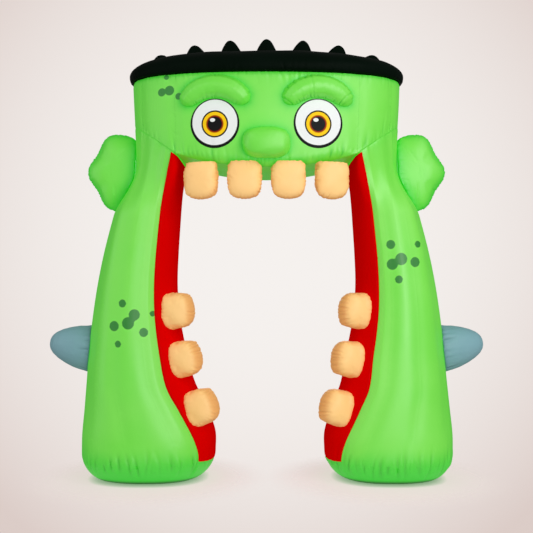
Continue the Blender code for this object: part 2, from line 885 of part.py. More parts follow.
def add_horns(stage, leg_cutters):
    """A blunt turned horn on the outer side of each leg, tilted up a little."""
    for side in SIDES:
        mesh = bpy.data.meshes.new("horn")
        points = [
            (p.radius * HORN_RADIUS, 0.0, p.along * HORN_LENGTH) for p in HORN_PROFILE
        ]
        edges = [(i, i + 1) for i in range(len(points) - 1)]
        mesh.from_pydata(points, edges, [])
        along = Vector((side.sign * math.cos(HORN_TILT), 0.0, math.sin(HORN_TILT)))
        leg_side = leg_outline(HORN_Z, side)[0](math.pi)
        foot = Vector((side.sign * leg_side.x, 0.0, HORN_Z))
        matrix = placed(foot - along * HORN_SEAT, along, Vector((0.0, -1.0, 0.0)))
        horn = stage.add(f"horn_{side.name}", mesh, "slate", matrix)
        turned = horn.modifiers.new("turned", "SCREW")
        turned.axis = "Z"
        turned.steps = HORN_STEPS
        turned.render_steps = HORN_STEPS
        turned.use_merge_vertices = True
        turned.merge_threshold = 0.0001
        turned.use_smooth_shade = True
        cut_by(horn, leg_cutters[side.name])


def ear_radius(angle):
    """Distance from the ear's middle to its rim, which has three of its lobes on the outer side."""
    outward = math.cos(angle)
    along = math.hypot(EAR_REACH * outward, EAR_HALF_HEIGHT * math.sin(angle))
    lobes = 1.0 - EAR_LOBE_DEPTH * (1.0 - math.cos(EAR_LOBES * angle))
    if outward >= 0:
        return along * lobes
    fade = min(1.0, -outward / EAR_ROOT_FADE)
    return along * lobes * (1 - fade) + EAR_ROOT * fade


def make_ear(side):
    """Mesh of a lobed ear with a sewn channel in from each notch."""
    angles = [2 * math.pi * i / EAR_POINTS for i in range(EAR_POINTS)]
    layers = [(s, -1) for s in EAR_SHARES] + [(1.0, 0)] + [(s, 1) for s in reversed(EAR_SHARES)]
    rings = []
    for share, face in layers:
        ring = []
        for angle in angles:
            notch = (1.0 - math.cos(EAR_LOBES * angle)) / 2 if math.cos(angle) > 0 else 0.0
            thick = EAR_THICKNESS / 2 * math.sqrt(1.0 - share**EAR_FULLNESS)
            thick *= 1.0 - EAR_CHANNEL_DEPTH * notch * share
            reach = ear_radius(angle) * share
            x, z = reach * math.cos(angle), reach * math.sin(angle)
            ring.append(Vector((EAR_X + x, EAR_Y + face * thick, EAR_Z + z)))
        rings.append(ring)
    bm, _ = loft(rings)
    return finished(bm, "ear", side.sign < 0)


# ---------------------------------------------------------------- the arch


def main():
    """Build every piece of the arch."""
    clear_scene()
    stage = Stage()
    leg_cutters, lining_cutters = {}, {}
    for side in SIDES:
        stage.add(f"base_{side.name}", make_base(side), "green")
        leg = stage.add(f"leg_{side.name}", make_leg(side), "green")
        stage.add(f"lining_{side.name}", make_lining(side), "red")
        leg_cutters[side.name] = stage.add_cutter(
            f"around_leg_{side.name}", grown(leg, GAP, "around_leg")
        )
        lining_cutters[side.name] = stage.add_cutter(
            f"around_lining_{side.name}", grown(leg, 2 * GAP + SHEET, "around_lining")
        )
    header = stage.add("header", make_header(), "green")
    crown = stage.add("crown", make_crown(), "black")
    around_header = stage.add_cutter("around_header", grown(header, GAP, "around_header"))
    around_patch = stage.add_cutter("around_patch", grown(header, GAP + SHEET, "around_patch"))
    around_crown = stage.add_cutter("around_crown", grown(crown, GAP, "around_crown"))
    add_crest(stage, around_crown)
    add_eyes(stage, around_header, around_patch)
    add_brows(stage, around_header)
    add_snout(stage, around_header)
    add_upper_teeth(stage, around_header)
    add_side_teeth(stage, lining_cutters)
    add_horns(stage, leg_cutters)
    for side in SIDES:
        ear = stage.add(f"ear_{side.name}", make_ear(side), "green")
        cut_by(ear, around_header, leg_cutters[side.name])


main()
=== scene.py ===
"""Looks of an inflatable walk-through arch in the form of a generic horned monster's open mouth.

Taut cloth skins with gathered seams, air-filled pads, printed patches, stitching and a plain studio.
Metres, +Z up, the face looks along -Y. Every piece stays within the solid that it stands for.
"""

from __future__ import annotations

import json
import logging
import math
from collections.abc import Callable
from dataclasses import dataclass, replace
from enum import Enum
from functools import cache

import bmesh
import bpy
import numpy as np
from bpy.types import Camera, Light, Material, Mesh, Node, NodeInputs, NodeSocket, NodeTree, Object
from mathutils import Matrix, Vector
from mathutils.bvhtree import BVHTree

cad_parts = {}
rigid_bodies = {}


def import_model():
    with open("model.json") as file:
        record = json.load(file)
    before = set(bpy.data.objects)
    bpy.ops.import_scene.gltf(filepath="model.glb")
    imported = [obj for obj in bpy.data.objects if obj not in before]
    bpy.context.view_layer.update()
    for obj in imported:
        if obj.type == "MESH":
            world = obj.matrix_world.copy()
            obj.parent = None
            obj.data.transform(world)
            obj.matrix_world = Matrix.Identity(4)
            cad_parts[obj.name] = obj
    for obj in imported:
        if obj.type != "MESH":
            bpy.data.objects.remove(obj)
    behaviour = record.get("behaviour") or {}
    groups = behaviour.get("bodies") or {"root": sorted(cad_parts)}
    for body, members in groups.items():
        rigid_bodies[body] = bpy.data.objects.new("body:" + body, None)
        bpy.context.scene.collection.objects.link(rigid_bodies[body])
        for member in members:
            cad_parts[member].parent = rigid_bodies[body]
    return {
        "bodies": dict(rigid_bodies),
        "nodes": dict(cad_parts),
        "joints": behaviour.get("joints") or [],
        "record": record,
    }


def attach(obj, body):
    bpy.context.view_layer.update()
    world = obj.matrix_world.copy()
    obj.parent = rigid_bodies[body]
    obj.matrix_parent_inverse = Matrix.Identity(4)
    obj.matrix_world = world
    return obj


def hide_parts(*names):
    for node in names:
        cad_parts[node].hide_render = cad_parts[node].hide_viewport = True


LOG = logging.getLogger("arch")
ROOT = "root"

BODY_Y = 0.0455
GAP = 0.0003
SHEET = 0.002
SEAM_TUCK = 0.007
CAP_ANGLE = math.radians(65)
MOUTH_X = 0.56
UNDERSIDE_Z = 1.985
UNDERSIDE_ARCH = 0.085
SHOULDER_SLOPE = 0.70
BASE_SEAM_Z = 0.13
BASE_ROUND = 0.17
HEM_Z = 2.56
BODY_SHIFT = np.array([0.0, BODY_Y, 0.0])

Array = np.ndarray
Pair = tuple[float, float]
Triple = tuple[float, float, float]


# -------- numbers along curves


def smoothstep(value: Array, low: float, high: float) -> Array:
    """Rise smoothly from 0 to 1 between two limits."""
    t = np.clip((value - low) / (high - low), 0.0, 1.0)
    return t * t * (3 - 2 * t)


def mix(a: Array, b: Array, share: Array) -> Array:
    """Blend two arrays by a share from 0 to 1."""
    return a + (b - a) * share


def smooth_rows(rows: Array, height: Array) -> Array:
    """Interpolate a table smoothly at many heights.

    Args:
        rows: table whose first column is the height.
        height: heights to read, of any shape.

    Returns:
        The other columns at each height, in a last axis.
    """
    heights = rows[:, 0]
    z = np.clip(height, heights[0], heights[-1])
    k = np.clip(np.searchsorted(heights, z, side="left") - 1, 0, len(rows) - 2)
    low, high = rows[k], rows[k + 1]
    before, after = rows[np.maximum(k - 1, 0)], rows[np.minimum(k + 2, len(rows) - 1)]
    step = high[..., :1] - low[..., :1]
    t = (z[..., None] - low[..., :1]) / step
    rise_low = (high - before) / (high[..., :1] - before[..., :1]) * step
    rise_high = (after - low) / (after[..., :1] - low[..., :1]) * step
    value = (2 * t**3 - 3 * t**2 + 1) * low + (t**3 - 2 * t**2 + t) * rise_low
    value += (3 * t**2 - 2 * t**3) * high + (t**3 - t**2) * rise_high
    return value[..., 1:]


def turned(up: Array, across: Array) -> Array:
    """Share of a full turn, from 0 to 1, at which each point lies."""
    return np.arctan2(up, across) / (2 * math.pi) + 0.5


def signed_power(value: Array, power: Array) -> Array:
    """Raise the size of each number to a power and keep its sign."""
    return np.sign(value) * np.abs(value) ** power


def crowded(count: int, crowding: float = 0.55) -> Array:
    """Shares from 0 up to, not including, 1 that lie closer together near both ends."""
    t = np.arange(count) / count
    return t - crowding * np.sin(2 * math.pi * t) / (2 * math.pi)


def first_columns(counts: tuple[int, ...]) -> Array:
    """Index of the column of points on which each panel starts."""
    return np.concatenate([[0], np.cumsum(counts)[:-1]])


# -------- gathered seams


@dataclass(frozen=True)
class Gathers:
    """Creases that run away from a sewn seam, where the taut cloth is drawn together."""

    spacing: float
    reach: float
    depth: float
    width: float
    seed: int
    lean: float = 0.0
    fold_lift: float = 0.38
    fold_place: float = 1.9
    fold_width: float = 1.3
    jitter: float = 0.42
    slant: float = 0.12
    depth_shares: Pair = (0.15, 1.0)
    reach_shares: Pair = (0.35, 1.2)
    width_shares: Pair = (0.7, 1.3)
    opening: float = 0.7

    def reseeded(self, extra: int) -> Gathers:
        """The same gathers with other chances."""
        return replace(self, seed=self.seed + extra)

    def relief(self, along: Array, away: Array, length: float, closed: bool = True) -> Array:
        """Work out how far the creases press the cloth in and lift it beside them.

        Args:
            along: distance along the seam of each point.
            away: distance from the seam of each point, which may be signed.
            length: length of the whole seam.
            closed: whether the seam's end meets its start.

        Returns:
            Heights, most of which are below 0, in metres.
        """
        rng = np.random.default_rng(self.seed)
        count = max(1, round(length / self.spacing))
        shifted = np.arange(count) + 0.5 + rng.uniform(-self.jitter, self.jitter, count)
        starts = shifted * length / count
        depths = self.depth * rng.uniform(*self.depth_shares, count)
        reaches = self.reach * rng.uniform(*self.reach_shares, count)
        slants = rng.normal(0.0, self.slant, count)
        widths = self.width * rng.uniform(*self.width_shares, count)
        sides = rng.choice((-1.0, 1.0), count)
        shifts = rng.uniform(-1.0, 1.0, count) * self.lean
        height = np.zeros(along.shape)
        near = np.nonzero(np.abs(away) < 2.2 * self.reach + self.lean)
        s, d = along[near], away[near]
        found = np.zeros(s.shape)
        for start, depth, reach, slant, width, side, shift in zip(
            starts, depths, reaches, slants, widths, sides, shifts
        ):
            offset = s - start - slant * d
            if closed:
                offset = (offset + length / 2) % length - length / 2
            hit = np.abs(offset) < 5 * width
            far = np.abs(d[hit] - shift) / reach
            spread = width * (0.8 + self.opening * far)
            fade = np.exp(-(far**2))
            valley = np.exp(-((offset[hit] / spread) ** 2))
            beside = offset[hit] - self.fold_place * side * spread
            fold = np.exp(-((beside / (self.fold_width * spread)) ** 2))
            found[hit] += depth * fade * (self.fold_lift * fold - valley)
        height[near] = found
        return height


def distance_to(points: Array, names: tuple[str, ...]) -> Array:
    """Distance of each point from the nearest of the named pieces.

    Args:
        points: points anywhere near the arch.
        names: nodes of the frame.

    Returns:
        Distances, one for each point.
    """
    corners, faces = [], []
    for name in names:
        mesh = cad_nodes[name].data
        first = len(corners)
        corners += [v.co.copy() for v in mesh.vertices]
        faces += [tuple(first + i for i in p.vertices) for p in mesh.polygons]
    tree = BVHTree.FromPolygons(corners, faces)
    found = [tree.find_nearest(Vector(p))[3] for p in points.reshape(-1, 3)]
    return np.array(found).reshape(points.shape[:-1])


def crowding(points: Array, names: tuple[str, ...], reach: float = 0.032) -> Array:
    """How close each point is to its neighbours, from 1 where they touch down to 0 far off; the
    finishes paint shade by it.
    """
    return np.exp(-distance_to(points, names) / reach)


def crease_mask(relief: Array, depth: float) -> Array:
    """How deep in a crease each point lies, from 1 in the deepest to below 0 on a raised fold; the
    finishes paint shade in creases and highlights on folds by it.
    """
    return np.clip(-relief / depth, -1.0, 1.0)


def soft_valley(away: Array, depth: float, reach: float) -> Array:
    """Rounded trough along a seam that the air pressure cannot lift."""
    return -depth * np.exp(-((away / reach) ** 2))


def tuck_in(away: Array, depth: float = SEAM_TUCK, reach: float = 0.011) -> Array:
    """Depth of the fold where the cloth turns in to a seam, on both sides of it."""
    return -depth * np.exp(-((np.abs(away) / reach) ** 1.5))


@dataclass(frozen=True)
class Ripples:
    """Slow, shallow waves of slack cloth."""

    size: float
    depth: float
    seed: int
    waves: int = 7
    size_shares: Pair = (0.6, 1.6)

    def relief(self, points: Array) -> Array:
        """Height of the waves at each point.

        Args:
            points: points of the cloth.

        Returns:
            Heights in metres.
        """
        rng = np.random.default_rng(self.seed)
        height = np.zeros(points.shape[:-1])
        for _ in range(self.waves):
            way = rng.normal(size=3)
            way /= np.linalg.norm(way)
            turns = 2 * math.pi / (self.size * rng.uniform(*self.size_shares))
            height += np.sin(points @ way * turns + rng.uniform(0, 6.3))
        return height * self.depth / self.waves


# -------- skins


class Skin:
    """A stretch of cloth held as a grid of points, with rows that may close on themselves."""

    def __init__(self, points: Array, closed: bool) -> None:
        """Keep the grid.

        Args:
            points: rows by columns by 3, where a row's way crossed with a column's points outwards.
            closed: whether each row's end meets its start.
        """
        self.points = points
        self.closed = closed

    def normals(self) -> Array:
        """Direction out of the cloth at each point.

        Returns:
            Unit directions, one for each point.
        """
        p = self.points
        if self.closed:
            across = np.roll(p, -1, axis=1) - np.roll(p, 1, axis=1)
        else:
            across = np.gradient(p, axis=1)
        down = np.gradient(p, axis=0)
        out = np.cross(across, down)
        return out / np.maximum(np.linalg.norm(out, axis=-1, keepdims=True), 1e-12)

    def across(self) -> Array:
        """Distance along its row of each point."""
        step = np.linalg.norm(np.diff(self.points, axis=1), axis=-1)
        return np.concatenate([np.zeros((len(step), 1)), np.cumsum(step, axis=1)], axis=1)

    def girth(self) -> Array:
        """Whole length of each row."""
        length = np.linalg.norm(np.diff(self.points, axis=1), axis=-1).sum(axis=1)
        if self.closed:
            length = length + np.linalg.norm(self.points[:, 0] - self.points[:, -1], axis=-1)
        return length

    def down(self) -> Array:
        """Distance down its column of each point."""
        step = np.linalg.norm(np.diff(self.points, axis=0), axis=-1)
        return np.concatenate([np.zeros((1, step.shape[1])), np.cumsum(step, axis=0)], axis=0)

    def away_from(self, column: int) -> Array:
        """Distance along its row of each point from a column, the shorter way round."""
        across = self.across()
        away = np.abs(across - across[:, column : column + 1])
        return np.minimum(away, self.girth()[:, None] - away)

    def gathered(self, kind: Gathers, row: int, away: Array) -> Array:
        """Relief of the gathers along a seam that runs round the skin.

        Args:
            kind: the seam's gathers.
            row: the row that the seam follows.
            away: distance of each point from the seam.

        Returns:
            Heights for the whole skin.
        """
        along = np.broadcast_to(self.across()[row], away.shape)
        return kind.relief(along, away, float(self.girth()[row]))

    def gathered_down(self, kind: Gathers, number: int, away: Array) -> Array:
        """Relief of the gathers along a seam that runs down the skin.

        Args:
            kind: the seam's gathers.
            number: the seam's number, which gives it its own chances.
            away: distance of each point from the seam.

        Returns:
            Heights for the whole skin.
        """
        down = self.down()
        return kind.reseeded(20 * number).relief(down, away, float(down[-1].max()), False)

    def push(self, height: Array) -> None:
        """Move each point out of the cloth by a height."""
        self.points = self.points + self.normals() * height[..., None]


def keep_value(mesh: Mesh, label: str, value: Array) -> None:
    """Keep a number for each point of a mesh."""
    layer = mesh.attributes.new(label, "FLOAT", "POINT")
    layer.data.foreach_set("value", value.astype(np.float32))


class MeshMaker:
    """Gathers grids and loose faces into one closed mesh with values on its points."""

    def __init__(self) -> None:
        """Start an empty mesh."""
        self.points: list[Array] = []
        self.faces: list[tuple[int, ...]] = []
        self.values: dict[str, list[Array]] = {}
        self.size = 0

    def add_points(self, points: Array, **values: Array) -> Array:
        """Add points and return their indices in the same layout.

        Args:
            points: array whose last axis is x, y and z.
            values: named numbers, one for each point.

        Returns:
            The points' indices.
        """
        flat = points.reshape(-1, 3)
        index = np.arange(self.size, self.size + len(flat)).reshape(points.shape[:-1])
        self.points.append(flat)
        for name, value in values.items():
            self.values.setdefault(name, [np.zeros(self.size)])
            self.values[name].append(np.broadcast_to(value, points.shape[:-1]).reshape(-1))
        self.size += len(flat)
        for name, parts in self.values.items():
            if name not in values:
                parts.append(np.zeros(len(flat)))
        return index

    def add_grid(self, index: Array, closed: bool) -> None:
        """Add the faces of a grid of indices."""
        right = np.roll(index, -1, axis=1) if closed else index[:, 1:]
        left = index if closed else index[:, :-1]
        quads = np.stack([left[:-1], right[:-1], right[1:], left[1:]], axis=-1)
        self.faces.extend(map(tuple, quads.reshape(-1, 4).tolist()))

    def add_fan(self, ring: Array, middle: Array) -> None:
        """Close a ring of indices with triangles that meet at a middle point."""
        centre = int(self.add_points(middle.reshape(1, 3))[0])
        for a, b in zip(ring.tolist(), np.roll(ring, -1).tolist()):
            self.faces.append((a, b, centre))

    def build(self, name: str, weld: float = 1e-5) -> Object:
        """Make the object, weld what meets, and turn the faces outwards.

        Args:
            name: the object's name.
            weld: distance within which points become one.

        Returns:
            The object.
        """
        mesh = bpy.data.meshes.new(name)
        mesh.from_pydata(np.concatenate(self.points).tolist(), [], self.faces)
        for label, parts in self.values.items():
            keep_value(mesh, label, np.concatenate(parts))
        bm = bmesh.new()
        bm.from_mesh(mesh)
        bmesh.ops.remove_doubles(bm, verts=bm.verts, dist=weld)
        bmesh.ops.dissolve_degenerate(bm, edges=bm.edges, dist=1e-7)
        bmesh.ops.recalc_face_normals(bm, faces=bm.faces)
        bm.to_mesh(mesh)
        bm.free()
        mesh.shade_smooth()
        mesh.set_sharp_from_angle(angle=CAP_ANGLE)
        return add_object(name, mesh)


def add_object(name: str, data: Mesh | Light | Camera) -> Object:
    """Add an object to the scene."""
    made = bpy.data.objects.new(name, data)
    bpy.context.scene.collection.objects.link(made)
    return made


def read_points(mesh: Mesh, kind: str = "co") -> Array:
    """Places of a mesh's points, or their directions out of it where the kind is normal."""
    flat = np.empty(len(mesh.vertices) * 3)
    mesh.vertices.foreach_get(kind, flat)
    return flat.reshape(-1, 3)


def write_points(mesh: Mesh, points: Array) -> None:
    """Move a mesh's points."""
    mesh.vertices.foreach_set("co", points.astype(np.float32).ravel())
    mesh.update()


def neighbour_pull(mesh: Mesh) -> Callable[[Array], Array]:
    """Make a function that tells how far each point lies from the mean of its neighbours.

    Args:
        mesh: the mesh whose edges join neighbours.

    Returns:
        The function, which takes the places of the mesh's points.
    """
    ends = np.empty(len(mesh.edges) * 2, dtype=np.int64)
    mesh.edges.foreach_get("vertices", ends)
    a, b = ends[::2], ends[1::2]
    count = np.bincount(ends, minlength=len(mesh.vertices))[:, None]

    def pull(points: Array) -> Array:
        """Way from each point to the mean of its neighbours."""
        total = np.zeros(points.shape)
        np.add.at(total, a, points[b])
        np.add.at(total, b, points[a])
        return total / count - points

    return pull


def plain_mesh(piece: Object) -> None:
    """Turn a piece's evaluated shape into its mesh and drop its modifiers."""
    shape = piece.evaluated_get(bpy.context.evaluated_depsgraph_get())
    mesh = bpy.data.meshes.new_from_object(shape)
    piece.modifiers.clear()
    piece.data = mesh


# -------- shader groups


class Graph:
    """Short ways to add nodes to a tree."""

    def __init__(self, tree: NodeTree) -> None:
        """Keep the tree."""
        self.tree = tree

    def node(self, kind: str, **settings: object) -> Node:
        """Add a node and set its properties."""
        made = self.tree.nodes.new(kind)
        for name, value in settings.items():
            setattr(made, name, value)
        return made

    def join(self, source: NodeSocket, target: NodeSocket) -> None:
        """Link two sockets."""
        self.tree.links.new(source, target)

    def put(self, value: object, target: NodeSocket) -> None:
        """Link a socket, or set a plain value."""
        if isinstance(value, NodeSocket):
            self.join(value, target)
        else:
            target.default_value = value

    def feed(self, sockets: NodeInputs, values: dict[object, object]) -> None:
        """Link or set several sockets.

        Args:
            sockets: a node's inputs.
            values: each socket's name or number, and what goes into it.
        """
        for label, value in values.items():
            self.put(value, sockets[label])

    def fed(self, kind: str, values: dict[object, object], **settings: object) -> Node:
        """Add a node, set its properties and feed its inputs.

        Args:
            kind: the node's type.
            values: each input's name or number, and what goes into it.
            settings: the node's properties.

        Returns:
            The node.
        """
        made = self.node(kind, **settings)
        self.feed(made.inputs, values)
        return made

    def math(self, kind: str, *values: object) -> NodeSocket:
        """Add a Math node and return its result."""
        return self.fed("ShaderNodeMath", dict(enumerate(values)), operation=kind).outputs[0]

    def span(self, *values: object) -> NodeSocket:
        """Map a value smoothly from a low and high end to a start and an end."""
        names = ("Value", "From Min", "From Max", "To Min", "To Max")
        ends = dict(zip(names, values, strict=True))
        made = self.fed("ShaderNodeMapRange", ends, interpolation_type="SMOOTHSTEP")
        return made.outputs["Result"]

    def blend(
        self, share: object, first: object, second: object, **settings: object
    ) -> NodeSocket:
        """Mix two colours."""
        values = {0: share, 6: first, 7: second}
        return self.fed("ShaderNodeMix", values, data_type="RGBA", **settings).outputs[2]

    def attribute(self, name: str) -> NodeSocket:
        """Read a number kept on the mesh."""
        return self.node("ShaderNodeAttribute", attribute_name=name).outputs["Fac"]

    def place(self) -> NodeSocket:
        """Place of the shaded point on its object."""
        return self.node("ShaderNodeTexCoord").outputs["Object"]

    def noise(self, scale: object, detail: float = 2.0, **settings: object) -> Node:
        """Add a solid noise."""
        values = {"Vector": self.place(), "Scale": scale, "Detail": detail}
        return self.fed("ShaderNodeTexNoise", values, noise_dimensions="3D", **settings)

    def group(self, tree: NodeTree) -> Node:
        """Add a shared group."""
        return self.node("ShaderNodeGroup", node_tree=tree)

    def bump(
        self, height: object, strength: float, distance: float, **values: object
    ) -> NodeSocket:
        """Add a Bump node and return its normal."""
        values |= {"Height": height, "Strength": strength, "Distance": distance}
        return self.fed("ShaderNodeBump", values).outputs[0]


class GroupMaker:
    """A shader group in the making, with its sockets at hand."""

    def __init__(
        self, name: str, inputs: dict[str, tuple[str, object]], outputs: dict[str, str]
    ) -> None:
        """Start a group with named sockets.

        Args:
            name: the group's name.
            inputs: socket name to its type and usual value.
            outputs: socket name to its type.
        """
        self.tree = bpy.data.node_groups.new(name, "ShaderNodeTree")
        for label, (kind, value) in inputs.items():
            made = self.tree.interface.new_socket(label, in_out="INPUT", socket_type=kind)
            made.default_value = value
        for label, kind in outputs.items():
            self.tree.interface.new_socket(label, in_out="OUTPUT", socket_type=kind)
        self.graph = Graph(self.tree)
        self.inputs = self.tree.nodes.new("NodeGroupInput").outputs
        self.outputs = self.tree.nodes.new("NodeGroupOutput").inputs


FLOAT = "NodeSocketFloat"
COLOUR = "NodeSocketColor"


@cache
def woven_group() -> NodeTree:
    """Plain-woven nylon with a heavier thread every few millimetres.

    Returns:
        The group.
    """
    maker = GroupMaker(
        "woven nylon",
        {"Threads": (FLOAT, 900.0), "Ripstop": (FLOAT, 170.0)},
        {"Height": FLOAT, "Shade": FLOAT},
    )
    g = maker.graph
    x, y, z = g.fed("ShaderNodeSeparateXYZ", {0: g.place()}).outputs
    warp = g.math("ADD", x, y)
    weft = g.math("ADD", z, g.math("MULTIPLY", y, 0.35))
    sharpness = 14.0

    def wave(axis: NodeSocket, count: NodeSocket) -> NodeSocket:
        """One set of threads as a wave from 0 to 1."""
        turn = g.math("MULTIPLY", g.math("MULTIPLY", axis, count), 2 * math.pi)
        return g.math("MULTIPLY_ADD", g.math("SINE", turn), 0.5, 0.5)

    fine = g.math("MULTIPLY", wave(warp, maker.inputs["Threads"]), wave(weft, maker.inputs["Threads"]))
    heavy = g.math(
        "MAXIMUM",
        g.math("POWER", wave(warp, maker.inputs["Ripstop"]), sharpness),
        g.math("POWER", wave(weft, maker.inputs["Ripstop"]), sharpness),
    )
    height = g.math("MULTIPLY_ADD", heavy, 0.6, g.math("MULTIPLY", fine, 0.4))
    # Painted shade of the weave: the cloth is a little darker between the threads.
    shade = g.math("MULTIPLY_ADD", height, 0.10, 0.95)
    g.feed(maker.outputs, {"Height": height, "Shade": shade})
    return maker.tree


@cache
def slack_group() -> NodeTree:
    """Small wrinkles of slack cloth, stronger beside a seam.

    Returns:
        The group.
    """
    maker = GroupMaker(
        "slack cloth",
        {"Seam": (FLOAT, 1.0), "Reach": (FLOAT, 0.05), "Size": (FLOAT, 14.0)},
        {"Height": FLOAT, "Fold": FLOAT},
    )
    g = maker.graph
    size, seam, reach = (maker.inputs[label] for label in ("Size", "Seam", "Reach"))
    broad = g.noise(size, 4.0)
    broad.inputs["Distortion"].default_value = 0.6
    crease = g.noise(g.math("MULTIPLY", size, 2.3), 3.0, noise_type="RIDGED_MULTIFRACTAL")
    near = g.math("EXPONENT", g.math("MULTIPLY", g.math("DIVIDE", seam, reach), -1.0))
    ridges = g.math("MULTIPLY", crease.outputs[0], g.math("MULTIPLY_ADD", near, 0.5, 0.08))
    height = g.math("MULTIPLY_ADD", broad.outputs[0], 0.5, ridges)
    # Fold is the nearness to a seam, by which the cloth's shading paints shade along seams.
    g.feed(maker.outputs, {"Height": height, "Fold": near})
    return maker.tree


@cache
def tint_group() -> NodeTree:
    """Dye that varies a little at random over a panel, with painted shade in creases, along seams, near
    neighbouring pieces and towards the foot, painted highlights on the folds beside creases and on pale
    gores, and a painted glow as if light came through the cloth.

    Returns:
        The group.
    """
    maker = GroupMaker(
        "dyed cloth",
        {
            "Base": (COLOUR, (0.5, 0.5, 0.5, 1.0)),
            "Light": (COLOUR, (0.6, 0.6, 0.6, 1.0)),
            "Deep": (COLOUR, (0.4, 0.4, 0.4, 1.0)),
            "Fold": (FLOAT, 0.0),
            "Crease": (FLOAT, 0.0),
            "Tone": (FLOAT, 0.0),
            "Shade": (FLOAT, 1.0),
        },
        {"Colour": COLOUR, "Glow": COLOUR, "Roughness": FLOAT},
    )
    g = maker.graph
    deep, crease, tone = (maker.inputs[label] for label in ("Deep", "Crease", "Tone"))
    mottle = g.noise(2.4, 3.0)
    share = g.math("MULTIPLY", g.span(mottle.outputs[0], 0.35, 0.65, 0.0, 1.0), 0.35)
    # Painted highlight: paler on the raised folds beside creases.
    raised = g.span(crease, -0.7, 0.0, 0.6, 0.0)
    # Random mottle, plus the painted highlight on folds and the painted light on pale gores.
    pale = g.math("ADD", g.math("ADD", share, raised), g.math("MAXIMUM", tone, 0.0))
    cloth = g.blend(g.math("MINIMUM", pale, 1.0), maker.inputs["Base"], maker.inputs["Light"])
    # Painted shade: deeper in creases, along seams and where the painted shading is below 0.
    valley = g.span(crease, 0.0, 1.0, 0.0, 0.75)
    depth = g.math("MAXIMUM", g.math("MULTIPLY", maker.inputs["Fold"], 0.25), valley)
    depth = g.math("MAXIMUM", depth, g.span(tone, -1.0, 0.0, 1.0, 0.0))
    # Painted contact shade: darker still, towards black, at the very foot.
    rim = g.span(tone, -2.0, -1.0, 1.0, 0.0)
    dark = (0.0, 0.0, 0.0, 1.0)
    shaded_in_folds = g.blend(g.math("MULTIPLY", rim, 0.8), g.blend(depth, cloth, deep), dark)
    shaded = g.fed("ShaderNodeHueSaturation", {"Color": shaded_in_folds, "Value": maker.inputs["Shade"]})
    # The painted glow is dimmed in creases and at the foot.
    glow_shade = g.math("MAXIMUM", g.math("MULTIPLY", valley, 0.45), g.math("MULTIPLY", rim, 0.96))
    rough = g.span(mottle.outputs[0], 0.3, 0.7, 0.44, 0.56)
    glow = g.blend(glow_shade, deep, dark)
    g.feed(maker.outputs, {"Colour": shaded.outputs[0], "Glow": glow, "Roughness": rough})
    return maker.tree


@cache
def rings_group() -> NodeTree:
    """Rings printed one inside another: rim, white, ring, amber, rust, pupil and a highlight.

    Returns:
        The group.
    """
    maker = GroupMaker(
        "printed rings",
        {
            "Across": (FLOAT, 0.0),
            "Up": (FLOAT, 0.0),
            "Rim": (FLOAT, 0.138),
            "Ring": (FLOAT, 0.082),
            "Iris": (FLOAT, 0.073),
            "Rust": (FLOAT, 0.050),
            "Pupil": (FLOAT, 0.044),
        },
        {"Colour": COLOUR},
    )
    g = maker.graph
    sharp = 0.0012

    def radius(dx: float, dz: float, tall: float = 1.0) -> NodeSocket:
        """Distance from a point beside the middle."""
        x = g.math("SUBTRACT", maker.inputs["Across"], dx)
        z = g.math("DIVIDE", g.math("SUBTRACT", maker.inputs["Up"], dz), tall)
        return g.math("SQRT", g.math("ADD", g.math("MULTIPLY", x, x), g.math("MULTIPLY", z, z)))

    def disc(size: object, distance: NodeSocket) -> NodeSocket:
        """1 inside a disc and 0 outside it."""
        edge = g.math("SUBTRACT", distance, size)
        return g.span(edge, -sharp, sharp, 1.0, 0.0)

    black, white = (0.006, 0.006, 0.007, 1.0), (0.86, 0.88, 0.88, 1.0)
    amber, rust = (1.0, 0.62, 0.006, 1.0), (0.30, 0.015, 0.0, 1.0)
    middle = radius(0.0, -0.004)
    colour = g.blend(disc(maker.inputs["Rim"], radius(0.0, 0.006)), black, white)
    colour = g.blend(disc(maker.inputs["Ring"], middle), colour, black)
    colour = g.blend(disc(maker.inputs["Iris"], middle), colour, amber)
    inner = g.math("SUBTRACT", middle, maker.inputs["Rust"])
    colour = g.blend(g.span(inner, -0.002, 0.008, 1.0, 0.0), colour, rust)
    colour = g.blend(disc(maker.inputs["Pupil"], middle), colour, black)
    colour = g.blend(disc(0.016, radius(-0.014, 0.020, 0.7)), colour, white)
    g.join(colour, maker.outputs["Colour"])
    return maker.tree


# -------- finishes


@dataclass(frozen=True)
class Finish:
    """What a piece is made of, with a material that is built on first use."""

    name: str
    slot: str

    def material(self) -> Material:
        """Build the material, or find it again.

        Returns:
            The material.
        """
        found = bpy.data.materials.get(self.name)
        if found:
            return found
        made = bpy.data.materials.new(self.name)
        made.use_nodes = True
        self.paint(Graph(made.node_tree), made.node_tree.nodes["Principled BSDF"].inputs)
        return made

    def paint(self, g: Graph, shader: NodeInputs) -> None:
        """Feed the shader's sockets."""
        raise NotImplementedError


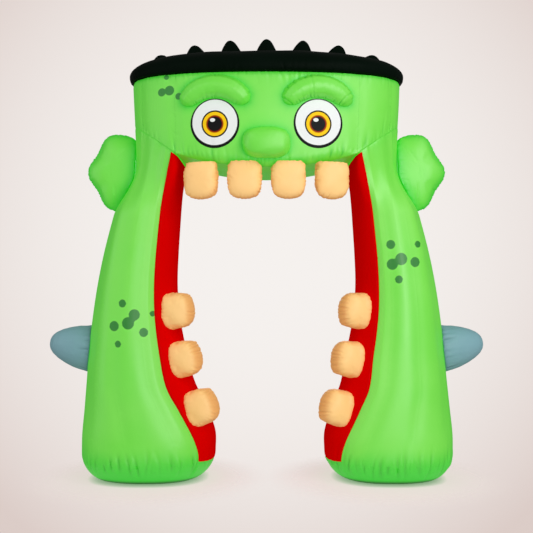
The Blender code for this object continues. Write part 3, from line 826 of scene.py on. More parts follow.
@dataclass(frozen=True)
class Cloth(Finish):
    """Colours and feel of one dyed nylon, with its painted shade, highlights and glow."""

    base: Triple
    # light is the pale colour of the random mottle, of painted highlights and of painted light on
    # gores; deep is the colour of painted shade and of the painted glow; glow is how strongly the cloth
    # glows with painted light, as if lit through.
    light: Triple
    deep: Triple
    gloss: float = 0.35
    glow: float = 0.08
    wrinkle: float = 0.0012
    weave: float = 0.00012
    spots: Triple | None = None
    spot_edge: float = 0.0015

    def paint(self, g: Graph, shader: NodeInputs) -> None:
        """Dye, weave and wrinkle the cloth, paint shade, highlights and a glow on it, and print its
        spots.

        Args:
            g: the material's graph.
            shader: inputs of its Principled BSDF.
        """
        woven, slack, dye_and_shade = g.group(woven_group()), g.group(slack_group()), g.group(tint_group())
        g.feed(slack.inputs, {"Seam": g.attribute("seam")})
        g.feed(
            dye_and_shade.inputs,
            {
                "Base": (*self.base, 1.0),
                "Light": (*self.light, 1.0),
                "Deep": (*self.deep, 1.0),
                "Fold": slack.outputs["Fold"],
                "Shade": woven.outputs["Shade"],
                "Crease": g.attribute("crease"),
                "Tone": g.attribute("tone"),
            },
        )
        colour, glow = dye_and_shade.outputs["Colour"], dye_and_shade.outputs["Glow"]
        if self.spots:
            inside = g.span(g.attribute("spot"), -self.spot_edge, self.spot_edge, 1.0, 0.0)
            colour = g.blend(inside, colour, (*self.spots, 1.0))
            # Printed spots take the painted glow in their own colour.
            glow = g.blend(inside, glow, (*self.spots, 1.0))
        wrinkled = g.bump(slack.outputs["Height"], 1.0, self.wrinkle)
        g.feed(
            shader,
            {
                "Base Color": colour,
                "Roughness": dye_and_shade.outputs["Roughness"],
                "Specular IOR Level": self.gloss,
                # Painted glow, as if light came through the cloth.
                "Emission Color": glow,
                "Emission Strength": self.glow,
                "Normal": g.bump(woven.outputs["Height"], 0.5, self.weave, Normal=wrinkled),
            },
        )


@dataclass(frozen=True)
class EyePrint(Finish):
    """White cloth with the rings of an eye printed on it."""

    # Strength of a faint painted glow in the print's own colours.
    glow: float = 0.10
    gloss: float = 0.12
    weave: float = 0.0001

    def paint(self, g: Graph, shader: NodeInputs) -> None:
        """Print the rings on the weave.

        Args:
            g: the material's graph.
            shader: inputs of its Principled BSDF.
        """
        rings, woven = g.group(rings_group()), g.group(woven_group())
        g.feed(rings.inputs, {"Across": g.attribute("across"), "Up": g.attribute("up")})
        g.feed(
            shader,
            {
                "Base Color": rings.outputs["Colour"],
                "Roughness": g.span(woven.outputs["Height"], 0.0, 1.0, 0.50, 0.58),
                "Specular IOR Level": self.gloss,
                # Painted glow in the print's own colours.
                "Emission Color": rings.outputs["Colour"],
                "Emission Strength": self.glow,
                "Normal": g.bump(woven.outputs["Height"], 0.4, self.weave),
            },
        )


@dataclass(frozen=True)
class Thread(Finish):
    """Spun sewing thread."""

    colour: Triple
    # Strength of a painted glow in the thread's own colour.
    glow: float = 0.3
    shaded: float = 0.6
    twist: float = 1500.0

    def paint(self, g: Graph, shader: NodeInputs) -> None:
        """Twist the thread's colour.

        Args:
            g: the material's graph.
            shader: inputs of its Principled BSDF.
        """
        twist = g.noise(self.twist).outputs[0]
        dark = tuple(c * self.shaded for c in self.colour)
        g.feed(
            shader,
            {
                "Base Color": g.blend(twist, (*dark, 1.0), (*self.colour, 1.0)),
                "Roughness": g.span(twist, 0.3, 0.7, 0.5, 0.7),
                # Painted glow in the thread's own colour.
                "Emission Color": (*self.colour, 1.0),
                "Emission Strength": self.glow,
            },
        )


# Each cloth has its own base colour, a paler one for random mottle, painted highlights and painted
# light on gores, and a deeper one for painted shade and the painted glow; glow is the strength of that
# painted glow.
GREEN = Cloth(
    "green nylon",
    "green_cloth",
    (0.180, 0.560, 0.051),
    (0.265, 0.612, 0.094),
    (0.012, 0.400, 0.008),
    gloss=1.0,
    glow=0.66,
    spots=(0.002, 0.135, 0.004),
)
RED = Cloth(
    "red nylon",
    "red_cloth",
    (0.600, 0.0002, 0.0003),
    (0.640, 0.0003, 0.0004),
    (0.48, 0.0001, 0.0002),
    gloss=0.0,
    glow=0.35,
    wrinkle=0.0006,
)
BLACK = Cloth(
    "black nylon",
    "black_cloth",
    (0.0015, 0.005, 0.0025),
    (0.004, 0.009, 0.006),
    (0.001, 0.003, 0.0015),
    gloss=0.02,
    glow=0.0,
)
CREAM = Cloth(
    "cream nylon",
    "cream_cloth",
    (0.950, 0.625, 0.252),
    (0.980, 0.725, 0.345),
    (0.720, 0.335, 0.096),
    glow=0.34,
)
SLATE = Cloth(
    "slate nylon",
    "slate_cloth",
    (0.210, 0.400, 0.445),
    (0.285, 0.485, 0.540),
    (0.092, 0.196, 0.228),
    glow=0.25,
)
EYE = EyePrint("printed eye", "eye_cloth")
GREEN_THREAD = Thread("green thread", "green_cloth", (0.06, 0.42, 0.03))
RED_THREAD = Thread("red thread", "red_cloth", (0.34, 0.002, 0.003))
BLACK_THREAD = Thread("black thread", "black_cloth", (0.01, 0.011, 0.012))


def dress(piece: Object, finish: Finish, *nodes: str) -> None:
    """Give a piece its finish and its place in the frame.

    Args:
        piece: the finished piece.
        finish: what it is made of.
        nodes: the solids that it stands for.
    """
    piece.data.materials.clear()
    piece.data.materials.append(finish.material())
    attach(piece, ROOT)
    if nodes:
        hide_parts(*nodes)
    LOG.info("%s: %d faces in %s", piece.name, len(piece.data.polygons), finish.name)


class Side(Enum):
    """The arch's two sides, as seen from the front."""

    LEFT = -1.0
    RIGHT = 1.0

    @property
    def word(self) -> str:
        """The side's name in a piece's name."""
        return self.name.lower()


# -------- stitching


@cache
def stitch_tree() -> NodeTree:
    """Geometry nodes that set short threads along a path.

    Returns:
        The tree, whose inputs are the sizes and the thread's material.
    """
    tree = bpy.data.node_groups.new("stitch row", "GeometryNodeTree")
    sockets = tree.interface
    sockets.new_socket("Geometry", in_out="INPUT", socket_type="NodeSocketGeometry")
    for label, value in (("Pitch", 0.009), ("Stitch", 0.0055), ("Thread", 0.0013)):
        made = sockets.new_socket(label, in_out="INPUT", socket_type=FLOAT)
        made.default_value = value
    sockets.new_socket("Material", in_out="INPUT", socket_type="NodeSocketMaterial")
    sockets.new_socket("Geometry", in_out="OUTPUT", socket_type="NodeSocketGeometry")
    g = Graph(tree)
    start, end = g.node("NodeGroupInput").outputs, g.node("NodeGroupOutput").inputs
    curve = g.fed("GeometryNodeMeshToCurve", {"Mesh": start["Geometry"]}).outputs[0]
    even = g.fed("GeometryNodeResampleCurve", {"Curve": curve, "Length": start["Pitch"]}, mode="LENGTH")
    bead = g.fed("GeometryNodeMeshIcoSphere", {"Radius": 0.5, "Subdivisions": 1})
    sizes = {"X": start["Thread"], "Y": start["Thread"], "Z": start["Stitch"]}
    way = {"Vector": g.node("GeometryNodeInputTangent").outputs[0]}
    place = g.fed(
        "GeometryNodeInstanceOnPoints",
        {
            "Points": even.outputs["Curve"],
            "Instance": bead.outputs["Mesh"],
            "Rotation": g.fed("FunctionNodeAlignEulerToVector", way, axis="Z").outputs[0],
            "Scale": g.fed("ShaderNodeCombineXYZ", sizes).outputs[0],
        },
    )
    real = g.fed("GeometryNodeRealizeInstances", {"Geometry": place.outputs["Instances"]}).outputs[0]
    cloth = g.fed("GeometryNodeSetMaterial", {"Geometry": real, "Material": start["Material"]})
    g.join(cloth.outputs["Geometry"], end["Geometry"])
    return tree


@dataclass(frozen=True)
class StitchRow:
    """Rows of thread along paths on the cloth."""

    name: str
    thread: Thread
    pitch: float = 0.009
    stitch: float = 0.0055
    width: float = 0.0013

    def build(self, paths: list[tuple[Array, bool]]) -> None:
        """Lay the rows as one plain mesh.

        Args:
            paths: points along each path, and whether it closes on itself.
        """
        mesh = bpy.data.meshes.new(self.name)
        points, edges = [], []
        for path, closed in paths:
            first = len(points)
            points += path.tolist()
            edges += [(first + i, first + i + 1) for i in range(len(path) - 1)]
            if closed:
                edges.append((len(points) - 1, first))
        mesh.from_pydata(points, edges, [])
        piece = add_object(self.name, mesh)
        rows = piece.modifiers.new("stitches", "NODES")
        rows.node_group = stitch_tree()
        values = {"Pitch": self.pitch, "Stitch": self.stitch, "Thread": self.width}
        values["Material"] = self.thread.material()
        for item in rows.node_group.interface.items_tree:
            if item.in_out == "INPUT" and item.name in values:
                rows[item.identifier] = values[item.name]
        bpy.context.view_layer.update()
        plain_mesh(piece)
        piece.data.shade_smooth()
        dress(piece, self.thread)


# -------- printed spots


GOLDEN_ANGLE = math.radians(137.5)


@dataclass(frozen=True)
class SpotCluster:
    """Round spots printed in a spiral that thins out from its middle."""

    x: float
    z: float
    count: int = 7
    spread: float = 0.17
    radius: float = 0.038
    shrinking: float = 0.62

    def spots(self) -> list[Triple]:
        """Middle and radius of each spot, seen from the front.

        Returns:
            Each spot as (x, z, radius).
        """
        found = []
        for i in range(self.count):
            turn = GOLDEN_ANGLE * i + self.x * 9
            reach = self.spread * math.sqrt(i / self.count)
            size = self.radius * (1.0 - self.shrinking * i / self.count)
            found.append((self.x + reach * math.cos(turn), self.z + reach * math.sin(turn), size))
        return found


FRONT_SPOTS = (
    SpotCluster(-0.86, 1.02),
    SpotCluster(0.84, 1.42),
    SpotCluster(-0.60, 2.46, 4, 0.10, 0.030),
)
BACK_SPOTS = (SpotCluster(0.85, 0.95), SpotCluster(-0.80, 1.55), SpotCluster(0.15, 2.30))


def spot_distance(points: Array, out: Array) -> Array:
    """Distance of each point from the nearest spot's edge, below 0 inside a spot.

    Args:
        points: points of the cloth.
        out: directions out of it.

    Returns:
        Distances in metres.
    """
    nearest = np.full(points.shape[:-1], 1.0)
    for clusters, side in ((FRONT_SPOTS, -1.0), (BACK_SPOTS, 1.0)):
        faces = out[..., 1] * side > 0.02
        for x, z, radius in (spot for cluster in clusters for spot in cluster.spots()):
            edge = np.hypot(points[..., 0] - x, points[..., 2] - z) - radius
            nearest = np.where(faces, np.minimum(nearest, edge), nearest)
    return nearest


# -------- legs


LEG_ROWS = np.array(
    (
        # height, outer x, inner x, half depth, lining's edge x, squareness
        (0.00, 1.205, 0.345, 0.400, 0.430, 2.4),
        (0.17, 1.211, 0.337, 0.405, 0.425, 2.4),
        (0.30, 1.209, 0.340, 0.405, 0.455, 2.4),
        (0.47, 1.192, 0.405, 0.395, 0.540, 2.3),
        (0.62, 1.178, 0.476, 0.382, 0.620, 2.3),
        (0.81, 1.166, 0.527, 0.366, 0.662, 2.2),
        (1.05, 1.137, 0.572, 0.350, 0.693, 2.2),
        (1.25, 1.107, 0.588, 0.340, 0.698, 2.2),
        (1.45, 1.064, 0.583, 0.332, 0.688, 2.3),
        (1.72, 0.991, 0.567, 0.328, 0.660, 2.5),
        (1.95, 0.926, 0.555, 0.328, 0.634, 2.8),
        (2.15, 0.880, 0.552, 0.326, 0.610, 3.0),
        (2.42, 0.850, 0.552, 0.322, 0.600, 3.0),
    )
)
DRUM_ROWS = np.array(
    (
        # height, half width, half depth
        (1.98, 0.848, 0.450),
        (2.14, 0.851, 0.469),
        (2.34, 0.861, 0.478),
        (2.56, 0.872, 0.466),
    )
)
HEADER_SQUARENESS = 2.4
LINING_GORE = 0
LINING_SEAMS = (0, 1)
GORE_COUNT = 8


@dataclass(frozen=True)
class LegForm:
    """The blown-up shape of one leg, as if it were the right one."""

    foot_in: float = 0.0
    foot_out: float = 0.0
    foot_fade: Pair = (0.30, 0.85)
    gore_shares: tuple[float, ...] = (0.16, 0.41, 0.71)
    flatness: float = 0.15
    shoulder_blend: Pair = (1.70, 2.06)
    shoulder_rounding: float = 9.0

    @classmethod
    def of(cls, side: Side) -> LegForm:
        """The form of one side's leg: the right foot stands a little further out."""
        return cls() if side is Side.LEFT else cls(foot_in=0.046, foot_out=0.010)

    def section(self, height: Array) -> tuple[Array, ...]:
        """Outer x, inner x, half depth, lining's edge and squareness at each height."""
        outer, inner, depth, edge, squareness = np.moveaxis(smooth_rows(LEG_ROWS, height), -1, 0)
        foot = 1.0 - smoothstep(height, *self.foot_fade)
        shift = self.foot_in * foot
        return outer + self.foot_out * foot, inner + shift, depth, edge + shift, squareness

    def seams(self, height: Array) -> Array:
        """Angles of the vertical seams at each height, in a last axis.

        Args:
            height: heights to read.

        Returns:
            Nine angles for each height, since the last seam is the first.
        """
        outer, inner, _, edge, squareness = self.section(height)
        share = ((outer + inner) / 2 - edge) / ((outer - inner) / 2)
        lining = np.arccos(share ** (squareness / 2))
        rest = math.pi - lining
        front = [lining] + [lining + rest * s for s in self.gore_shares]
        back = [2 * math.pi - a for a in reversed(front)]
        return np.stack([-lining, *front, *back], axis=-1)

    def outline(self, angle: Array, height: Array, inset: Array) -> Array:
        """Points on the leg at angles from the inner side, round the front.

        Args:
            angle: turn from the inner side.
            height: height of each point.
            inset: how far the outline is drawn in.

        Returns:
            Points of the right leg.
        """
        outer, inner, depth, _, squareness = self.section(height)
        centre, half = (outer + inner) / 2, (outer - inner) / 2
        power = 2.0 / squareness
        x = centre - (half - inset) * signed_power(np.cos(angle), power)
        y = -(depth - inset) * signed_power(np.sin(angle), power)
        blend = smoothstep(height, *self.shoulder_blend)
        sx, sy = self.shoulder(centre, x, y, height, inner)
        return np.stack([mix(x, sx, blend), mix(y, sy, blend), height + 0.0 * x], axis=-1)

    def shoulder(
        self, centre: Array, x: Array, y: Array, height: Array, inner: Array
    ) -> tuple[Array, Array]:
        """Where a line from the leg's centre through a point meets the header's outline.

        Args:
            centre: x of the leg's centre.
            x: x of the point.
            y: y of the point.
            height: height of the point.
            inner: x of the leg's inner side.

        Returns:
            The meeting point's x and y.
        """
        half_width, half_depth = np.moveaxis(smooth_rows(DRUM_ROWS, height), -1, 0)
        run, depth = x - centre, y
        size = np.maximum(np.hypot(run, depth), 1e-6)
        run, depth = run / size, depth / size
        near, far = np.zeros(x.shape), np.ones(x.shape)
        for _ in range(26):
            reach = (near + far) / 2
            across = (np.abs(centre + run * reach) / half_width) ** HEADER_SQUARENESS
            inside = across + (np.abs(depth * reach) / half_depth) ** HEADER_SQUARENESS < 1.0
            near, far = np.where(inside, reach, near), np.where(inside, far, reach)
        flat = (centre - inner) / np.maximum(-run, 1e-6)
        power = self.shoulder_rounding
        softened = (np.maximum(near, 1e-3) ** -power + flat**-power) ** (-1 / power)
        reach = np.where(run < 0, softened, near)
        return centre + run * reach, depth * reach

    def cloth(self, column: Array, height: Array, inset: Array) -> Array:
        """Points on the sewn leg, whose gores are a little flatter than a round tube.

        Args:
            column: gore number and share across it, from 0 to 8.
            height: height of each point.
            inset: how far the outline is drawn in.

        Returns:
            Points of the right leg.
        """
        seams = self.seams(height)
        gore = np.minimum(np.floor(column).astype(int), GORE_COUNT - 1)
        share = column - gore
        start, end = (np.take_along_axis(seams, gore[..., None] + i, -1)[..., 0] for i in (0, 1))
        bulged = self.outline(mix(start, end, share), height, inset)
        first, last = self.outline(start, height, inset), self.outline(end, height, inset)
        flat = self.flatness * (1.0 - smoothstep(height, *self.shoulder_blend)) * (gore != LINING_GORE)
        return mix(bulged, mix(first, last, share[..., None]), flat[..., None])


@dataclass
class Leg:
    """One leg: the air-filled column, the bowl it stands on, and the lining on its inner side."""

    side: Side
    gore_columns: tuple[int, ...] = (60, 36, 58, 70, 130, 70, 58, 36)
    rows: int = 150
    base_rows: int = 28
    bottom_rings: tuple[float, ...] = (0.66, 0.33)
    bottom_fade: Pair = (0.004, 0.06)
    base_creases: Gathers = Gathers(0.052, 0.072, 0.0125, 0.0095, 17, 0.026)
    base_fine: Gathers = Gathers(0.034, 0.036, 0.0036, 0.0060, 12, 0.014)
    gore_creases: Gathers = Gathers(0.090, 0.030, 0.0009, 0.0085, 13)
    lining_creases: Gathers = Gathers(0.060, 0.018, 0.0014, 0.0065, 14)
    shoulder_creases: Gathers = Gathers(0.048, 0.050, 0.0030, 0.0085, 15)
    shoulder_fold: float = 0.0035
    gore_valley: float = 0.0095
    gore_reach: float = 0.050
    # Crease depth at which the painted shade in a crease is full.
    crease_tint: float = 0.0080
    lining_rise: float = 0.012
    # Painted light on some gores as pale bands, painted shade near neighbouring pieces and towards the
    # foot, a darker painted contact shade at the foot, and painted shade along the lining's edges.
    gore_tones: tuple[float, ...] = (0.0, 0.45, 0.15, 0.25, 0.0, 0.25, 0.15, 0.45)
    tone_blend: float = 0.16
    tone_fade: Pair = (0.12, 0.30)
    deepening: float = 0.7
    under_deepening: float = 1.0
    deepening_reach: float = 0.38
    rim_height: float = 0.055
    hem_tint: float = 0.6
    hem_reach: float = 0.010
    lining_depth: float = 0.003
    highest: float = 0.004
    stitch_inset: int = 2
    slack: Ripples = Ripples(0.42, 0.0026, 31)
    slack_fade: float = 0.30

    def __post_init__(self) -> None:
        """Take the side's own form and its own creases."""
        self.form = LegForm.of(self.side)
        extra = 0 if self.side is Side.LEFT else 500
        for label in ("base_creases", "base_fine", "gore_creases", "shoulder_creases"):
            setattr(self, label, getattr(self, label).reseeded(extra))

    def columns(self) -> Array:
        """Gore number and share of every column of points."""
        return np.concatenate([gore + crowded(count) for gore, count in enumerate(self.gore_columns)])

    def tone(self, column: Array, height: Array) -> Array:
        """Painted light and shade on the leg: pale bands on some gores, blended a little across the
        seams and fading to the foot, then painted shade towards the foot.

        Args:
            column: gore number and share across it.
            height: height of each point.

        Returns:
            Above 0 for painted light, 1 being the palest, 0 for none, below 0 for painted shade and
            below -1 for a darker painted contact shade at the very bottom.
        """
        gore = np.floor(column).astype(int) % GORE_COUNT
        share = column - np.floor(column)
        gore_levels = np.array(self.gore_tones)
        low = 0.5 * (1.0 - smoothstep(share, 0.0, self.tone_blend))
        high = 0.5 * smoothstep(share, 1.0 - self.tone_blend, 1.0)
        own, before, after = gore_levels[gore], gore_levels[gore - 1], gore_levels[(gore + 1) % GORE_COUNT]
        value = own + (before - own) * low + (after - own) * high
        value = value * smoothstep(height, *self.tone_fade)
        # Painted shade towards the foot, and a darker painted contact shade at the very bottom.
        value = value - self.under_deepening * (1.0 - smoothstep(height, 0.0, self.deepening_reach))
        return value - (1.0 - smoothstep(height, 0.0, self.rim_height))

    def shoulder_height(self, column: Array) -> Array:
        """Height at which each column meets the header.

        Args:
            column: gore number and share across it.

        Returns:
            Heights in metres.
        """
        top = np.full(column.shape, 2.2)
        for _ in range(14):
            x = self.form.cloth(column, top, np.zeros(column.shape))[..., 0]
            top = UNDERSIDE_Z + UNDERSIDE_ARCH + SHOULDER_SLOPE * (x - MOUTH_X) - 2 * GAP
        return top

    def seam_distances(self, skin: Skin) -> tuple[Array, Array]:
        """Distance of each point from the nearest vertical seam, and that seam's number."""
        gaps = np.stack([skin.away_from(column) for column in first_columns(self.gore_columns)])
        return gaps.min(axis=0), gaps.argmin(axis=0)

    def base_relief(self, skin: Skin, row: int, away: Array) -> Array:
        """Creases that cross the base seam, which the column and the bowl share."""
        return skin.gathered(self.base_creases, row, away) + skin.gathered(self.base_fine, row, away)

    def column_skin(self) -> tuple[Skin, dict[str, Array]]:
        """The leg's taut cloth and the values that its finish reads.

        Returns:
            The cloth, and its values by name.
        """
        columns = self.columns()
        top = self.shoulder_height(columns)
        share = np.append(crowded(self.rows, 0.45), 1.0)[:, None]
        height = (BASE_SEAM_Z + GAP) + (top - BASE_SEAM_Z - GAP) * share
        column = np.broadcast_to(columns, height.shape)
        under = np.clip(BASE_ROUND - height, 0.0, None)
        inset = BASE_ROUND - np.sqrt(BASE_ROUND**2 - under**2)
        skin = Skin(self.form.cloth(column, height, inset), True)
        down = skin.down()
        seam_away, nearest = self.seam_distances(skin)
        to_top = down[-1:] - down
        creases = self.base_relief(skin, 0, down)
        creases += skin.gathered(self.shoulder_creases, -1, to_top)
        for number in range(GORE_COUNT):
            kind = self.lining_creases if number in LINING_SEAMS else self.gore_creases
            creases += skin.gathered_down(kind, number, np.where(nearest == number, seam_away, 1.0))
        lining = column < LINING_GORE + 1
        gores = np.where(lining, 0.0, soft_valley(seam_away, self.gore_valley, self.gore_reach))
        slack = gores + self.slack.relief(skin.points)
        relief = creases + slack * smoothstep(down, 0.0, self.slack_fade)
        relief += tuck_in(to_top, self.shoulder_fold)
        relief = np.where(lining, np.clip(relief, -self.lining_depth, 0.0), relief)
        skin.push(np.minimum(relief, self.highest))
        crease = crease_mask(creases, self.crease_tint)
        return skin, {"seam": to_top, "crease": crease, "tone": self.tone(column, height)}

    def bowl_skin(self) -> tuple[Skin, dict[str, Array]]:
        """The bowl's cloth from its flat bottom up to the base seam, and its finish's values.

        Returns:
            The cloth, and its values by name.
        """
        columns = self.columns()
        full_turn = math.acos((BASE_ROUND - BASE_SEAM_Z) / BASE_ROUND)
        turn = full_turn * np.append(crowded(self.base_rows, 0.3), 1.0)[:, None]
        height = BASE_ROUND * (1.0 - np.cos(turn)) + 0.0 * columns
        inset = BASE_ROUND * (1.0 - np.sin(turn)) + 0.0 * columns
        column = np.broadcast_to(columns, height.shape)
        skin = Skin(self.form.cloth(column, height, inset), True)
        down = skin.down()
        creases = self.base_relief(skin, -1, down - down[-1:])
        creases *= smoothstep(height, *self.bottom_fade)
        skin.push(creases)
        crease = crease_mask(creases, self.crease_tint)
        return skin, {"seam": 1.0, "crease": crease, "tone": self.tone(column, height)}

    def placed(self, points: Array) -> Array:
        """Points moved to this leg's side of the arch."""
        return points * np.array([self.side.value, 1.0, 1.0]) + BODY_SHIFT

    def build(self) -> None:
        """Make the column, the bowl, the lining and their stitching."""
        word = self.side.word
        skin, values = self.column_skin()
        outward = skin.normals() * np.array([self.side.value, 1.0, 1.0])
        maker = MeshMaker()
        points = self.placed(skin.points)
        # Painted shade on the leg near the ear, horn and teeth.
        beside = (f"ear_{word}", f"horn_{word}", *(f"tooth_{word}_{number}" for number in (1, 2, 3)))
        values["tone"] = values["tone"] - self.deepening * crowding(points, beside)
        index = maker.add_points(points, spot=spot_distance(points, outward), **values)
        maker.add_grid(index, True)
        maker.add_fan(index[0], points[0].mean(axis=0))
        maker.add_fan(index[-1], points[-1].mean(axis=0))
        column = maker.build(f"leg_{word}_skin")
        dress(column, GREEN, f"leg_{word}")
        self.build_bowl()
        self.build_lining(skin)
        self.build_stitches(skin)

    def build_bowl(self) -> None:
        """Make the bowl that stands on the floor."""
        word = self.side.word
        skin, values = self.bowl_skin()
        maker = MeshMaker()
        points = self.placed(skin.points)
        points[0, :, 2] = 0.0
        index = maker.add_points(points, spot=1.0, **values)
        maker.add_grid(index, True)
        middle = points[0].mean(axis=0)
        rings = [index[0]]
        for share in self.bottom_rings:
            ring = maker.add_points(mix(middle, points[0], share), seam=0.2, spot=1.0)
            maker.add_grid(np.stack([rings[-1], ring]), True)
            rings.append(ring)
        maker.add_fan(rings[-1], middle)
        maker.add_fan(index[-1], points[-1].mean(axis=0))
        bowl = maker.build(f"base_{word}_skin")
        dress(bowl, GREEN, f"base_{word}")

    def lining_cloth(self, skin: Skin) -> tuple[Array, Array]:
        """Points and normals of the cloth under the lining, whose lower edge rises to its two seams.

        Args:
            skin: the column's cloth.

        Returns:
            The points, and the directions out of them.
        """
        last = self.gore_columns[0] + 1
        points, normals = skin.points[:, :last], skin.normals()[:, :last]
        rise = self.lining_rise * (1.0 - np.sin(np.linspace(0.0, math.pi, last)))
        top = len(points) - 2
        count = np.arange(len(points))
        first = [np.interp(points[1, j, 2] + rise[j], points[:, j, 2], count) for j in range(last)]
        row = np.linspace(np.array(first), np.full(last, float(top)), top)
        low = np.minimum(row.astype(int), top - 1)
        share = (row - low)[..., None]
        column = np.arange(last)[None, :]
        return tuple(mix(grid[low, column], grid[low + 1, column], share) for grid in (points, normals))

    def build_lining(self, skin: Skin) -> None:
        """Make the thin panel that lies on the leg's inner side.

        Args:
            skin: the column's cloth.
        """
        word = self.side.word
        base, out = self.lining_cloth(skin)
        near = self.placed(base + out * (2 * GAP))
        far = self.placed(base + out * (2 * GAP + SHEET))
        down, across = Skin(base, False).down(), Skin(base, False).across()
        edge = np.minimum(down, down[-1:] - down)
        edge = np.minimum(edge, np.minimum(across, across[:, -1:] - across))
        maker = MeshMaker()
        # Painted shade along the lining's edges, carried as a crease value.
        values = {"seam": edge, "crease": self.hem_tint * np.exp(-edge / self.hem_reach)}
        inner = maker.add_points(near, **values)
        outer = maker.add_points(far, **values)
        maker.add_grid(inner, False)
        maker.add_grid(outer, False)
        for side in (np.s_[0], np.s_[-1], np.s_[:, 0], np.s_[:, -1]):
            maker.add_grid(np.stack([inner[side], outer[side]]), False)
        panel = maker.build(f"lining_{word}_panel")
        dress(panel, RED, f"lining_{word}")

    def build_stitches(self, skin: Skin) -> None:
        """Sew the lining's edges.

        Args:
            skin: the column's cloth.
        """
        under, out = self.lining_cloth(skin)
        lifted = self.placed(under + out * (SHEET + 3 * GAP))[self.stitch_inset : -self.stitch_inset]
        columns = (self.stitch_inset, self.gore_columns[0] - self.stitch_inset)
        paths = [(lifted[:, column], False) for column in columns]
        StitchRow(f"lining_{self.side.word}_stitches", RED_THREAD).build(paths)


# -------- header and crown


